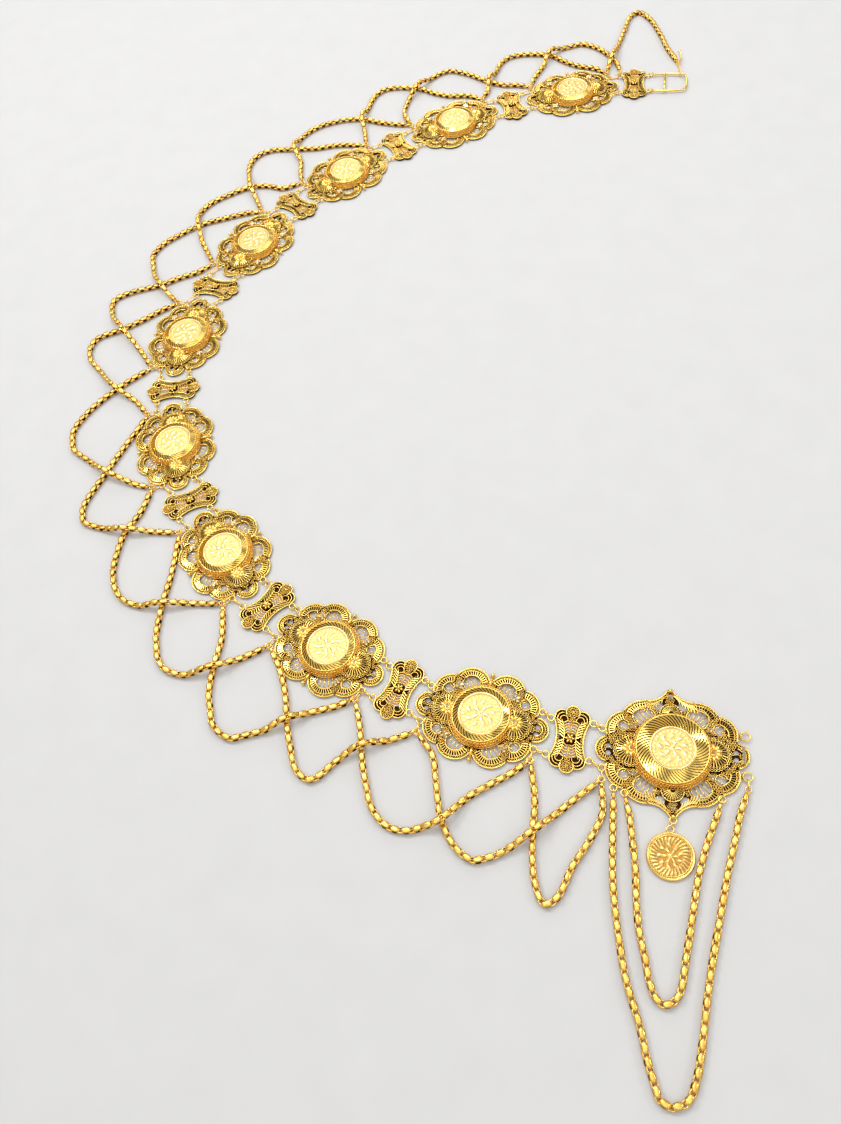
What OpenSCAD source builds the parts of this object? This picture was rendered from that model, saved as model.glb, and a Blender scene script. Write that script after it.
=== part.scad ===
// Gold waist belt, lying open on a flat surface in a wide curve: a buckle plate, nine
// openwork medallions and ten hourglass spacers on jump rings, with chains that hang in
// crossing loops along the outer side, two long loops and a coin pendant under the
// buckle, and a wire clasp frame at the far end.
// Millimetres, +Z up, z = 0 is the surface that the belt lies on.
// A plate's own frame has u along the belt towards the buckle's right end, v towards the
// inner side of the curve, and the chains on its -v side.

/* [Plates] */
// Thickness of the pierced plates
plate_t = 1.1; // [0.9:0.1:1.3]
// Height of the raised wire that follows each plate's edge
rim_h = 1.8; // [1.7:0.1:2.2]
// Width of that wire
rim_w = 1.1; // [0.9:0.1:1.3]
// Radius of the round beads and florets
bead_r = 1.15; // [0.9:0.05:1.3]

/* [Coins] */
// Radius of the coin in each medallion
coin_r = 9.1; // [8.8:0.1:9.2]
// Radius of the buckle's coin
buckle_coin_r = 8.2; // [7.8:0.1:8.6]
// Thickness of the coin
coin_t = 1; // [0.8:0.1:1.2]
// Height of a medallion's coin above the surface
coin_h = 5; // [4.6:0.1:5.6]
// Height of the buckle's coin above the surface
buckle_coin_h = 6; // [5.6:0.1:6.6]
// Height of the coins' relief
relief_h = 0.3; // [0.2:0.05:0.4]

/* [Rings] */
// Centre-line radius of the rings soldered to the plates' corners
ring_r = 1.25; // [1.23:0.01:1.27]
// Wire radius of those rings
ring_wire = 0.32; // [0.28:0.01:0.33]
// Half the width of a jump ring's wire
link_wire = 0.23; // [0.2:0.01:0.24]
// Centre-line radius of the loose rings at the buckle's right end
loose_r = 1.7; // [1.6:0.05:1.75]

/* [Chains] */
// Width of the chains
chain_d = 2.8; // [2.4:0.1:2.9]
// How far a chain rises where it passes over another
hump = 3.3; // [3.2:0.1:3.6]

/* [Pendant] */
// Radius of the coin pendant
pendant_r = 8.4; // [7.6:0.1:8.5]

/* [Clasp] */
// Length of the wire frame from its eyes to its end bar
clasp_l = 21; // [19:0.5:22]
// Wire radius of the frame
clasp_wire = 0.55; // [0.45:0.05:0.6]

/* [Hidden] */
$fn = 32;
eps = 0.01;

// Layout. Each row: x, y of the plate's centre and the turn of its long axis in degrees.
PLATES = [
    [73, 106.5, -18],
    [8.5, 137.5, -29],
    [-44.5, 181.5, -46.5],
    [-82.5, 239.5, -69],
    [-100, 307, -90.5],
    [-88.5, 376, -112],
    [-46, 432.5, -133.5],
    [11.5, 471.5, -155],
    [79, 492, -170],
    [149, 494, -186.5],
];
// The spacer past the last medallion, which has no plate on its far side
LAST_SPACER = [184, 488.5, -198];
// The middle of the whole belt, which becomes the origin
belt_mid = [33.27, 275.94];

// Lobes of a plate's outline. Each row: u, v and radius of one lobe, mirrored to all four
// quarters. The last row only fills the plate behind the end lobe.
MEDALLION_LOBES = [[21.4, 0, 5.1], [14, 7.5, 7.3], [7, 11.6, 7.6], [16.5, 0, 6]];
BUCKLE_LOBES = [[22.6, 0, 5.2], [16.5, 7.6, 7.6], [9.5, 11, 9], [17.5, 0, 6.3]];
centre_disc_r = 14;
// Openings of a plate. Each row: u, v and radius, mirrored to all four quarters.
MEDALLION_GAPS = [[21.9, 1.5, 1.1], [15.4, 8.8, 2.1], [6.8, 11.9, 3.9]];
BUCKLE_GAPS = [[22.9, 1.4, 1.1], [17.3, 9.5, 2.1], [9.7, 13.3, 4.1], [4.5, 18.1, 1.9]];
rosette_r = 6.6;
rosette_u = 13.2;
buckle_rosette_u = 14.6;
// A rosette's flower: petals, and the bead in its middle
petals_n = 5;
petal_at = 1.9;
petal_r = 1.5;
petal_z = 2.8;
pistil_r = 0.95;
pistil_z = 3.7;
// Height of the beads' and florets' centres
bead_z = 1.9;
// The raised middle of a plate: its foot, and the radius and height of the fluted ring's
// outer edge. The ring rises from there to the coin's edge.
bezel_r = 12.4;
bezel_edge = [11, 4.1];
buckle_bezel_r = 14.2;
buckle_bezel_edge = [13, 5.3];
bezel_foot_h = 1.9;
hollow_r = 8.2;
floret = [11.4, 10.4];
prong_v = 17.6;
prong_l = 4.8;
prong_r = 0.65;
// The pierced sheet lies a little above the surface, inside the edge wire
sheet_z = 0.2;
sheet_inset = 0.4;
foot_z = 0.3;
// The buckle's pointed ends: centre and radius of the hollow curves, and the point itself
ogee = [8.7, 28.5, 8.6];
ogee_tip_v = 25;
ogee_root_v = 11;
buckle_tip_v = 24;
tip_bead_v = 20.8;
fan_v = 16;
fan_r = 2.4;
end_bead_u = 25.6;
end_bead_step = 2.2;
// The slanting cuts in the fluted rings: how many, their size, tilt and slant
flutes_n = 36;
flute_w = 0.5;
flute_d = 0.5;
flute_slant = 35;
// The hook under the buckle's coin
hook_low = 0.5;
hook_w = 6;
hook_reach = 6.6;
hook_post = [1, 2.2];
hook_lip = [1, 1.8];
hook_thick = 1;

// Where the corner rings sit on each kind of plate
corner = [22.35, 7.6];
buckle_corner = [25.15, 7.6];
spacer_corner = [8, 7.3];
ring_z = 1.4;
leg = 0.58;
link_h = 1;
hang_h = 1.3;
hang_z = 1.65;
hang_l = 4;
// A chain's end ring: its size, how it sits round a link's leg, and the two heights
eye_r = 1.1;
eye_slack = 0.2;
eye_low = 1.1;
eye_high = 2.2;
leg_bend = 0.14;
stand_eye_z = 1.5;
// A chain's solid: its sides, and how it narrows to the end ring
sides = 8;
tube_r = chain_d / 2;
tube_z = tube_r * cos(180 / sides);
tip_r = 0.6;
tip_gap = 0.95;
taper_l = 3;
spacer_half = 7;
spacer_waist = 5.3;
// Lobes at each end of a spacer. Each row: u, v and radius, mirrored to both ends.
SPACER_LOBES = [[0, 10.6, 2.9], [3.7, 8.4, 3.2], [-3.7, 8.4, 3.2]];
// A disc that joins those lobes to the waist: v and radius
spacer_web = [8.6, 2.8];
// One of a spacer's two windows, its middle boss and ball, and the foot of each end's fan
SPACER_WINDOW = [[-1.9, 2.2], [1.9, 2.2], [3.1, 6.6], [0, 7.4], [-3.1, 6.6]];
spacer_boss_r = 1.8;
spacer_boss_h = 2;
spacer_ball_z = 2.7;
spacer_fan_v = 10.4;
spacer_fan_r = 1.9;
// The buckle's right end: an upright ring on each corner, and a loose ring in it
loose_eye_u = 24.75;
loose_eye_z = 1.3;
loose_eye_r = 0.95;
loose_eye_wire = 0.3;
loose_u = loose_eye_u + loose_r;
loop_link_l = 3.7;
// Rings at the buckle's lower edge: for the pendant, and for the two long loops
tip_ring_v = -25.2;
loop_rings = [[-20.9, -14.9], [-17, -16.5], [17.2, -16.5]];
// The pendant lies a little askew below the buckle
pendant_u = -1.1;
pendant_ring_v = -28.5;
pendant_v = pendant_ring_v - ring_r + 0.4 - pendant_r;
pendant_t = 1.6;
pendant_edge = 1.2;
// The clasp frame starts at the last spacer's far rings, turned a little in them
clasp_turn = -200.5;
clasp_half = [7.3, 7.9, 7.2];
clasp_bow = [1.2, 6.6, 2.5];
clasp_z = 1.5;
clasp_eye_r = 1.2;
clasp_eye_wire = 0.28;
clasp_bar_u = -9;
clasp_end_u = -19;
// The hook stands on the clasp frame's outer side wire
hook_u = -17.4;
hook_turn = 76;
hook_l = 12;
hook_tail = [[0, 0], [2.4, -1.7], [6, -2], [10, -1.6]];
hook_wire = 0.35;
hook_tail_z = 1.8;
hook_ball_r = 0.8;

// Chain routes. Each row: x, y of a point on the surface, and 1 as a third value where
// the chain passes over its neighbour. A route's ends are worked out from its rings.
ROUTES = [
    [[42, 91], [35, 83], [26, 75], [19, 67], [14, 65], [12, 70], [13, 79], [16, 90],
     [20, 102]],
    [[36, 99], [27, 95], [16, 90, 1], [4, 86], [-6, 85], [-12, 91], [-15, 102],
     [-14, 116], [-13, 127]],
    [[14, 113], [6, 111], [-4, 108], [-15, 102, 1], [-25, 101], [-34, 104], [-39, 112],
     [-40, 124], [-39, 137], [-38, 146]],
    [[-28, 137], [-39, 137, 1], [-49, 134], [-60, 129], [-65, 134], [-66, 144],
     [-66, 155], [-65, 167], [-66, 179]],
    [[-47, 156], [-56, 156], [-66, 155, 1], [-77, 153], [-88, 153], [-95, 160],
     [-96, 172], [-93, 185], [-88, 198]],
    [[-80, 187], [-93, 185, 1], [-106, 186], [-114, 192], [-116, 203], [-112, 221],
     [-107, 235], [-104, 246]],
    [[-98, 218], [-112, 221, 1], [-123, 224], [-130, 230], [-133, 240], [-131, 252],
     [-126, 264], [-119, 272]],
    [[-113, 260], [-126, 264, 1], [-137, 269], [-146, 276], [-145, 284], [-134, 300],
     [-126, 311], [-118, 321]],
    [[-120, 289], [-134, 300, 1], [-142, 310], [-150, 321], [-149, 331], [-140, 342],
     [-127, 351], [-117, 356]],
    [[-118, 341], [-127, 351, 1], [-134, 365], [-140, 379], [-136, 389], [-122, 392],
     [-111, 395], [-100, 399]],
    [[-113, 373], [-122, 392, 1], [-127, 405], [-125, 415], [-114, 418], [-100, 418],
     [-89, 420], [-79, 421]],
    [[-95, 408], [-100, 418, 1], [-103, 430], [-103, 441], [-97, 449], [-87, 454],
     [-75, 458], [-62, 459], [-50, 459]],
    [[-73, 437], [-75, 448], [-75, 458, 1], [-74, 467], [-67, 474], [-55, 478],
     [-43, 480], [-33, 477], [-25, 472]],
    [[-41, 468], [-43, 480, 1], [-43, 492], [-39, 503], [-30, 508], [-14, 504],
     [-2, 500], [11, 498]],
    [[-14, 480], [-12, 492], [-14, 504, 1], [-9, 512], [0, 518], [14, 520], [29, 516],
     [37, 510], [45, 505]],
    [[28, 504], [29, 516, 1], [34, 525], [40, 535], [48, 539], [66, 532], [74, 524],
     [82, 518], [92, 514]],
    [[53, 511], [58, 523], [66, 532, 1], [76, 539], [86, 542], [96, 535], [107, 522],
     [114, 516], [121, 513]],
    [[104, 514], [107, 522, 1], [113, 530], [119, 538], [127, 541], [147, 533],
     [153, 524], [160, 516], [167, 511]],
    [[133, 516], [140, 524], [147, 533, 1], [156, 537], [166, 537], [174, 530],
     [180, 516], [181, 509]],
    [[175, 509], [180, 516, 1], [187, 527], [195, 540], [202, 551], [208, 554],
     [212, 545], [213, 530], [212, 515]],
];
LOOP_OUTER = [[45, 88], [41, 76], [38, 66], [35, 51], [33, 36], [33, 22], [32, 10],
    [32, 2], [36, -2], [41, -1], [46, 5], [51, 14], [57, 26], [63, 37], [70, 49],
    [77, 61], [84, 72], [89, 80]];
LOOP_INNER = [[51, 88], [49, 78], [47, 69], [44, 59], [42, 50], [41, 40], [40, 31],
    [43, 26], [48, 28], [54, 38], [61, 51], [67, 62], [73, 71], [80, 80]];

// A plate's point u, v in the belt's frame
function at(p, u, v) = [p.x + u * cos(p.z) - v * sin(p.z), p.y + u * sin(p.z) + v * cos(p.z)];
function out_dir(p) = [sin(p.z), -cos(p.z)];
function unit(v) = v / norm(v);
function deg(v) = atan2(v.y, v.x);

function corner_of(i) = i == 0 ? buckle_corner : corner;

// Spacer i lies half-way between the facing ends of plates i - 1 and i
function spacer(i) =
    i == 10 ? LAST_SPACER :
    let (mid = (at(PLATES[i - 1], -corner_of(i - 1).x, 0) + at(PLATES[i], corner.x, 0)) / 2)
    [mid.x, mid.y, (PLATES[i - 1].z + PLATES[i].z) / 2];

// Corner ring of plate i: side 1 is towards the buckle, row 1 is the inner side
function plate_ring(i, side, row) = at(PLATES[i], side * corner_of(i).x, row * corner_of(i).y);
function spacer_ring(i, side, row) = at(spacer(i), side * spacer_corner.x, row * spacer_corner.y);

// Corner j, counted from the buckle, where chains hang: the ring's centre and the way out
function hang_ring(j) =
    j == 20 ? spacer_ring(10, 1, -1) : plate_ring(floor(j / 2), j % 2 == 0 ? 1 : -1, -1);
function hang_dir(j) = j == 20 ? out_dir(spacer(10)) : out_dir(PLATES[floor(j / 2)]);
function hang_leg(j) = hang_ring(j) + (leg + hang_l - leg_bend) * hang_dir(j);

// Centre of the end ring that takes a leg at p, and of one that stands in a flat ring at p
function towards(p, next, l) = p + l * unit([next.x, next.y] - p);
function flat_eye(p, next) = towards(p, next, eye_slack);
function upright_eye(p, next) = towards(p, next, eye_r + 0.05);

// The whole line of a chain: rows of x, y, z and radius, thinner at the two ends
function start_rows(eye, next, z) =
    let (d = unit([next.x, next.y] - eye), a = eye + tip_gap * d, b = a + taper_l * d)
    [[a.x, a.y, z, tip_r], [b.x, b.y, tube_z, tube_r]];
function flip(rows) = [for (i = [len(rows) - 1:-1:0]) rows[i]];
function line(route, from, to, z_from, z_to) = concat(
    start_rows(from, route[0], z_from),
    [for (p = route) [p.x, p.y, tube_z + (len(p) > 2 ? hump : 0), tube_r]],
    flip(start_rows(to, route[len(route) - 1], z_to)));

// One closed solid swept along a line, with a ring of points at each row
function row_point(r) = [r.x, r.y, r.z];
function ring_at(rows, i) =
    let (n = len(rows) - 1,
         t = unit(row_point(rows[min(i + 1, n)]) - row_point(rows[max(i - 1, 0)])),
         s = unit(cross([0, 0, 1], t)),
         w = cross(t, s))
    [for (k = [0:sides - 1]) let (a = (k + 0.5) * 360 / sides)
        row_point(rows[i]) + rows[i][3] * (cos(a) * s + sin(a) * w)];
module swept(rows) {
    last = (len(rows) - 1) * sides;
    points = [for (i = [0:len(rows) - 1]) each ring_at(rows, i)];
    walls = [for (i = [0:len(rows) - 2], k = [0:sides - 1])
        let (a = i * sides + k, b = i * sides + (k + 1) % sides)
        each [[a, a + sides, b], [b, a + sides, b + sides]]];
    caps = [[for (k = [0:sides - 1]) k], [for (k = [sides - 1:-1:0]) last + k]];
    polyhedron(points, concat(walls, caps));
}

// Round rings: lying flat, or standing across the way that they face
module ring(r, wire) rotate_extrude() translate([r, 0]) circle(wire);
module flat_ring(p, z, r, wire) translate([p.x, p.y, z]) ring(r, wire);

// A long jump ring standing on edge, from its first leg along +X
module stadium(l, r) {
    for (x = [0, l]) translate([x, 0]) circle(r);
    translate([0, -r]) square([l, 2 * r]);
}
module standing_link(from, dir, l, h, z) {
    translate([from.x, from.y, z])
        rotate([90, 0, deg(dir)])
            translate([h, 0, -link_wire])
                linear_extrude(2 * link_wire)
                    difference() {
                        stadium(l - 2 * h, h + link_wire);
                        stadium(l - 2 * h, h - link_wire);
                    }
}
module link_between(a, b) {
    d = unit(b - a);
    standing_link(a + leg * d, d, norm(b - a) - 2 * leg, link_h, ring_z);
}
module hanging_link(j) {
    d = hang_dir(j);
    standing_link(hang_ring(j) + leg * d, d, hang_l, hang_h, hang_z);
}

// Plates
module placed(p) translate([p.x, p.y, 0]) rotate([0, 0, p.z]) children();
module centred() translate([-belt_mid.x, -belt_mid.y, 0]) children();
module quarters(row) {
    for (su = [-1, 1], sv = row.y == 0 ? [1] : [-1, 1])
        translate([su * row.x, sv * row.y]) children();
}
module lobes(rows, inset) {
    for (row = rows) quarters(row) circle(row.z - inset);
    circle(centre_disc_r);
}
module gaps(rows, keep_r, rosette) {
    difference() {
        for (row = rows) quarters(row) circle(row.z);
        circle(keep_r);
        for (s = [-1, 1]) translate([s * rosette, 0]) circle(rosette_r + 0.6);
    }
}
module ogee_point(inset) {
    difference() {
        polygon([[-ogee.x, ogee.y - ogee.z - inset], [0, ogee_tip_v - 2 * inset],
                 [ogee.x, ogee.y - ogee.z - inset], [0, ogee_root_v]]);
        for (s = [-1, 1]) translate([s * ogee.x, ogee.y]) circle(ogee.z + inset);
    }
}
module buckle_outline(inset) {
    lobes(BUCKLE_LOBES, inset);
    ogee_point(inset);
    mirror([0, 1]) ogee_point(inset);
}
module petals(n, ring, r, z) {
    for (i = [0:n - 1]) rotate([0, 0, i * 360 / n]) translate([ring, 0, z]) sphere(r);
}
// Low dish with a bead round it and a five-petalled flower in the middle
module rosette() {
    rotate_extrude()
        polygon([[0, foot_z], [rosette_r, foot_z], [rosette_r, 1.9], [5.9, 1.9], [5.4, 1.6],
                 [3.4, 2.8], [0, 3.2]]);
    petals(petals_n, petal_at, petal_r, petal_z);
    translate([0, 0, pistil_z]) sphere(pistil_r);
}
module coin_relief(z, r) {
    translate([0, 0, z - eps]) {
        cylinder(r = 0.16 * r, h = relief_h);
        for (i = [0:7])
            rotate([0, 0, i * 45]) translate([0.42 * r, 0, 0]) cylinder(r = 0.13 * r, h = relief_h);
    }
}
// Coin in its raised middle, open underneath: h and r are the coin's height and radius,
// edge the radius and height of the fluted ring's outer edge, and foot the middle's foot
module coin(h, r, edge, foot) {
    difference() {
        rotate_extrude()
            polygon([[0, h - coin_t], [hollow_r, h - coin_t], [hollow_r, foot_z], [foot, foot_z],
                     [foot, bezel_foot_h], [edge.x + 0.3, edge.y - 0.5], edge, [r + 0.3, h - 0.3],
                     [r, h], [r - 0.7, h], [r - 0.7, h - relief_h], [0.74 * r, h - relief_h],
                     [0.74 * r, h - 0.1], [0.68 * r, h - 0.1], [0.68 * r, h - relief_h],
                     [0, h - relief_h]]);
        flutes(h, r, edge);
    }
    coin_relief(h - relief_h, r);
}
module flutes(h, r, edge) {
    low = [edge.x + 0.3, edge.y];
    high = [r + 0.3, h - 0.3];
    middle = (low + high) / 2;
    length = norm(high - low) - 0.3;
    for (i = [0:flutes_n - 1])
        rotate([0, 0, i * 360 / flutes_n]) translate([middle.x, 0, middle.y])
            rotate([0, atan2(high.y - low.y, low.x - high.x), flute_slant])
                cube([length, flute_w, flute_d], center = true);
}
module corner_rings(c, sides_u) {
    for (su = sides_u, sv = [-1, 1]) flat_ring([su * c.x, sv * c.y], ring_z, ring_r, ring_wire);
}
module prong(v) {
    translate([0, v - prong_l, ring_z]) rotate([-90, 0, 0]) cylinder(r = prong_r, h = prong_l);
    translate([0, v, ring_z]) sphere(prong_r + 0.3);
}
module medallion() {
    difference() {
        union() {
            linear_extrude(rim_h)
                difference() {
                    lobes(MEDALLION_LOBES, 0);
                    lobes(MEDALLION_LOBES, rim_w);
                }
            translate([0, 0, sheet_z]) linear_extrude(plate_t)
                difference() {
                    lobes(MEDALLION_LOBES, sheet_inset);
                    gaps(MEDALLION_GAPS, bezel_r, rosette_u);
                    circle(hollow_r);
                }
            for (s = [-1, 1]) translate([s * rosette_u, 0, 0]) rosette();
            coin(coin_h, coin_r, bezel_edge, bezel_r);
            for (su = [-1, 1], sv = [-1, 1])
                translate([su * floret.x, sv * floret.y, bead_z]) sphere(bead_r);
            for (m = [0, 1]) mirror([0, m, 0]) prong(prong_v);
            corner_rings(corner, [-1, 1]);
        }
        translate([0, 0, -1]) cylinder(r = hollow_r, h = coin_h - coin_t + 1);
    }
}
// Plain hook under the buckle's coin that takes the clasp frame's end bar: a post, a
// tongue towards the buckle's left end, and a lip
module back_hook() {
    post_h = buckle_coin_h - coin_t - hook_low + 0.2;
    translate([-hook_post[1], -hook_w / 2, hook_low])
        cube([hook_post[1] - hook_post[0], hook_w, post_h]);
    translate([-hook_reach, -hook_w / 2, hook_low]) {
        cube([hook_reach - hook_post[0], hook_w, hook_thick]);
        cube([hook_lip[0], hook_w, hook_lip[1]]);
    }
}
module buckle() {
    color("gold") centred() placed(PLATES[0]) {
        difference() {
            union() {
                linear_extrude(rim_h) difference() { buckle_outline(0); buckle_outline(rim_w); }
                translate([0, 0, sheet_z]) linear_extrude(plate_t)
                    difference() {
                        buckle_outline(sheet_inset);
                        gaps(BUCKLE_GAPS, buckle_bezel_r, buckle_rosette_u);
                        circle(hollow_r);
                    }
                for (s = [-1, 1]) translate([s * buckle_rosette_u, 0, 0]) rosette();
                coin(buckle_coin_h, buckle_coin_r, buckle_bezel_edge, buckle_bezel_r);
                for (m = [0, 1]) mirror([0, m, 0]) {
                    translate([0, buckle_tip_v, ring_z]) sphere(bead_r);
                    translate([0, tip_bead_v, bead_z]) sphere(bead_r);
                    translate([0, fan_v, foot_z]) cylinder(r = fan_r, h = rim_h);
                }
                for (n = [-1:1])
                    translate([end_bead_u, n * end_bead_step, bead_z]) sphere(bead_r);
                corner_rings(buckle_corner, [-1]);
                for (sv = [-1, 1]) translate([loose_eye_u, sv * buckle_corner.y, loose_eye_z])
                    rotate([90, 0, 0]) ring(loose_eye_r, loose_eye_wire);
                flat_ring([0, tip_ring_v], ring_z, ring_r, ring_wire);
                for (p = loop_rings) flat_ring(p, ring_z, ring_r, ring_wire);
            }
            translate([0, 0, -1]) cylinder(r = hollow_r, h = buckle_coin_h - coin_t + 1);
        }
        back_hook();
    }
}
module medallion_at(i) color("gold") centred() placed(PLATES[i]) medallion();

// Hourglass spacer: feathered bands at both sides, fans at both ends, a ball in the middle
side_cut = spacer_half - spacer_waist;
side_cut_r = (pow(side_cut, 2) + pow(spacer_corner.y, 2)) / (2 * side_cut);
module spacer_outline(inset) {
    difference() {
        square([2 * spacer_half, 2 * spacer_corner.y + 1] - [2 * inset, 2 * inset], center = true);
        for (s = [-1, 1])
            translate([s * (spacer_waist + side_cut_r), 0]) circle(side_cut_r + inset, $fn = 64);
    }
    for (sv = [-1, 1]) {
        for (row = SPACER_LOBES) translate([row.x, sv * row.y]) circle(row.z - inset);
        translate([0, sv * spacer_web[0]]) circle(spacer_web[1]);
    }
}
module spacer_gaps() {
    for (m = [0, 1]) mirror([0, m]) polygon(SPACER_WINDOW);
}
module spacer_at(i) {
    color("goldenrod") centred() placed(spacer(i)) {
        linear_extrude(rim_h) difference() { spacer_outline(0); spacer_outline(rim_w); }
        translate([0, 0, sheet_z]) linear_extrude(plate_t)
            difference() { spacer_outline(sheet_inset); spacer_gaps(); }
        translate([0, 0, foot_z]) cylinder(r = spacer_boss_r, h = spacer_boss_h);
        translate([0, 0, spacer_ball_z]) sphere(bead_r);
        for (sv = [-1, 1])
            translate([0, sv * spacer_fan_v, foot_z]) cylinder(r = spacer_fan_r, h = rim_h);
        corner_rings(spacer_corner, [-1, 1]);
    }
}

// Jump rings round spacer i: to both neighbours, and those that the chains hang from
module links_at(i) {
    color("khaki") centred() {
        for (row = [-1, 1]) link_between(plate_ring(i - 1, -1, row), spacer_ring(i, 1, row));
        if (i < 10)
            for (row = [-1, 1]) link_between(spacer_ring(i, -1, row), plate_ring(i, 1, row));
        hanging_link(2 * i - 1);
        hanging_link(2 * i);
    }
}

// Loose rings at the buckle: two at its right end, the outer loop's link and the pendant's
module buckle_rings() {
    buckle_at = PLATES[0];
    color("khaki") centred() {
        for (sv = [-1, 1])
            flat_ring(at(buckle_at, loose_u, sv * buckle_corner.y), loose_eye_z, loose_r,
                      loose_eye_wire);
        standing_link(loop_leg, out_dir(buckle_at), loop_link_l, link_h, ring_z);
        link_between(at(buckle_at, 0, tip_ring_v), at(buckle_at, pendant_u, pendant_ring_v));
    }
}

// Coin pendant, lying flat: raised edge, a diagonal-cut ring and a small relief
module pendant() {
    color("gold") centred() placed(PLATES[0]) translate([pendant_u, 0, 0]) {
        translate([0, pendant_v, 0]) {
            difference() {
                cylinder(r = pendant_r, h = pendant_t);
                translate([0, 0, pendant_t - relief_h]) cylinder(r = pendant_r - pendant_edge, h = 1);
            }
            difference() {
                cylinder(r = 0.8 * pendant_r, h = pendant_t - 0.1);
                translate([0, 0, pendant_t - relief_h]) cylinder(r = 0.5 * pendant_r, h = 1);
            }
            coin_relief(pendant_t - relief_h, 0.9 * pendant_r);
        }
        flat_ring([0, pendant_ring_v], ring_z, ring_r, ring_wire);
    }
}

// Chains
module chain_eye(c, z) flat_ring(c, z, eye_r, link_wire);
module chain_eye_upright(c, next) {
    translate([c.x, c.y, stand_eye_z])
        rotate([90, 0, deg([next.x, next.y] - c)]) ring(eye_r, link_wire);
}
module chain_solid(route, from, to, z_from, z_to) {
    color("orange") centred() {
        swept(line(route, from, to, z_from, z_to));
        children();
    }
}
module chain_at(k) {
    route = ROUTES[k - 1];
    last = route[len(route) - 1];
    from = flat_eye(hang_leg(k == 1 ? 1 : k - 1), route[0]);
    to = flat_eye(k == 1 ? hang_leg(2) : k == 20 ? hook_leg : hang_leg(k + 1), last);
    z_from = k == 1 ? eye_low : eye_high;
    chain_solid(route, from, to, z_from, eye_low) {
        chain_eye(from, z_from);
        chain_eye(to, eye_low);
    }
}
loop_leg = at(PLATES[0], loose_u, -buckle_corner.y - 0.9);
module loop_outer() {
    last = LOOP_OUTER[len(LOOP_OUTER) - 1];
    from = upright_eye(at(PLATES[0], loop_rings[0].x, loop_rings[0].y), LOOP_OUTER[0]);
    to = flat_eye(loop_leg + (loop_link_l - 0.07) * out_dir(PLATES[0]), last);
    chain_solid(LOOP_OUTER, from, to, stand_eye_z, eye_low) {
        chain_eye_upright(from, LOOP_OUTER[0]);
        chain_eye(to, eye_low);
    }
}
module loop_inner() {
    last = LOOP_INNER[len(LOOP_INNER) - 1];
    from = upright_eye(at(PLATES[0], loop_rings[1].x, loop_rings[1].y), LOOP_INNER[0]);
    to = upright_eye(at(PLATES[0], loop_rings[2].x, loop_rings[2].y), last);
    chain_solid(LOOP_INNER, from, to, stand_eye_z, stand_eye_z) {
        chain_eye_upright(from, LOOP_INNER[0]);
        chain_eye_upright(to, last);
    }
}

// Wire bent through points at one height
module bent_wire(points, r, z) swept([for (p = points) [p.x, p.y, z, r]]);

// Clasp frame: an eye in each far ring of the last spacer, side wires, a crossbar and a
// bowed end bar, in a frame of its own with -u away from the belt
clasp_frame_at = let (p = at(LAST_SPACER, -spacer_corner.x, 0)) [p.x, p.y, clasp_turn];
module clasp_frame() {
    side = [[0.05 - 2 * clasp_eye_r, clasp_half[0]], [clasp_bar_u, clasp_half[1]],
            [clasp_end_u, clasp_half[2]], [-clasp_l + clasp_bow[0], clasp_bow[1]],
            [-clasp_l, clasp_bow[2]]];
    other_side = [for (i = [len(side) - 1:-1:0]) [side[i].x, -side[i].y]];
    color("gold") centred() placed(clasp_frame_at) {
        bent_wire(concat(side, other_side), clasp_wire, clasp_z);
        bent_wire([for (sv = [1, -1]) [clasp_bar_u, sv * clasp_half[1]]], clasp_wire, clasp_z);
        for (sv = [-1, 1])
            translate([-clasp_eye_r, sv * clasp_half[0], clasp_z])
                rotate([90, 0, 0]) ring(clasp_eye_r, clasp_eye_wire);
    }
}

// Hook that takes the last chain: a long eye round the frame's side wire, and a tail
hook_dir = [cos(hook_turn), sin(hook_turn)];
hook_at = at(clasp_frame_at, hook_u, -clasp_half[2]) - 1.2 * hook_dir;
hook_leg = hook_at + (hook_l - leg_bend) * hook_dir;
module end_hook() {
    end = hook_at + hook_l * hook_dir;
    tip = hook_tail[len(hook_tail) - 1];
    color("gold") centred() {
        standing_link(hook_at, hook_dir, hook_l, hang_h, hang_z);
        translate([end.x, end.y, 0]) rotate([0, 0, hook_turn]) {
            bent_wire(hook_tail, hook_wire, hook_tail_z);
            translate([tip.x, tip.y, hook_tail_z]) sphere(hook_ball_r);
        }
    }
}

buckle();
for (i = [1:9]) medallion_at(i);
for (i = [1:10]) spacer_at(i);
for (i = [1:10]) links_at(i);
for (i = [1:20]) chain_at(i);
loop_outer();
loop_inner();
buckle_rings();
pendant();
clasp_frame();
end_hook();
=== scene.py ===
"""Looks of the gold waist belt: filigree plates, box-link chains, jump rings, coins, and the studio."""
import math

import bpy
import numpy as np
from mathutils import Matrix, Vector
from mathutils.geometry import delaunay_2d_cdt


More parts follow.
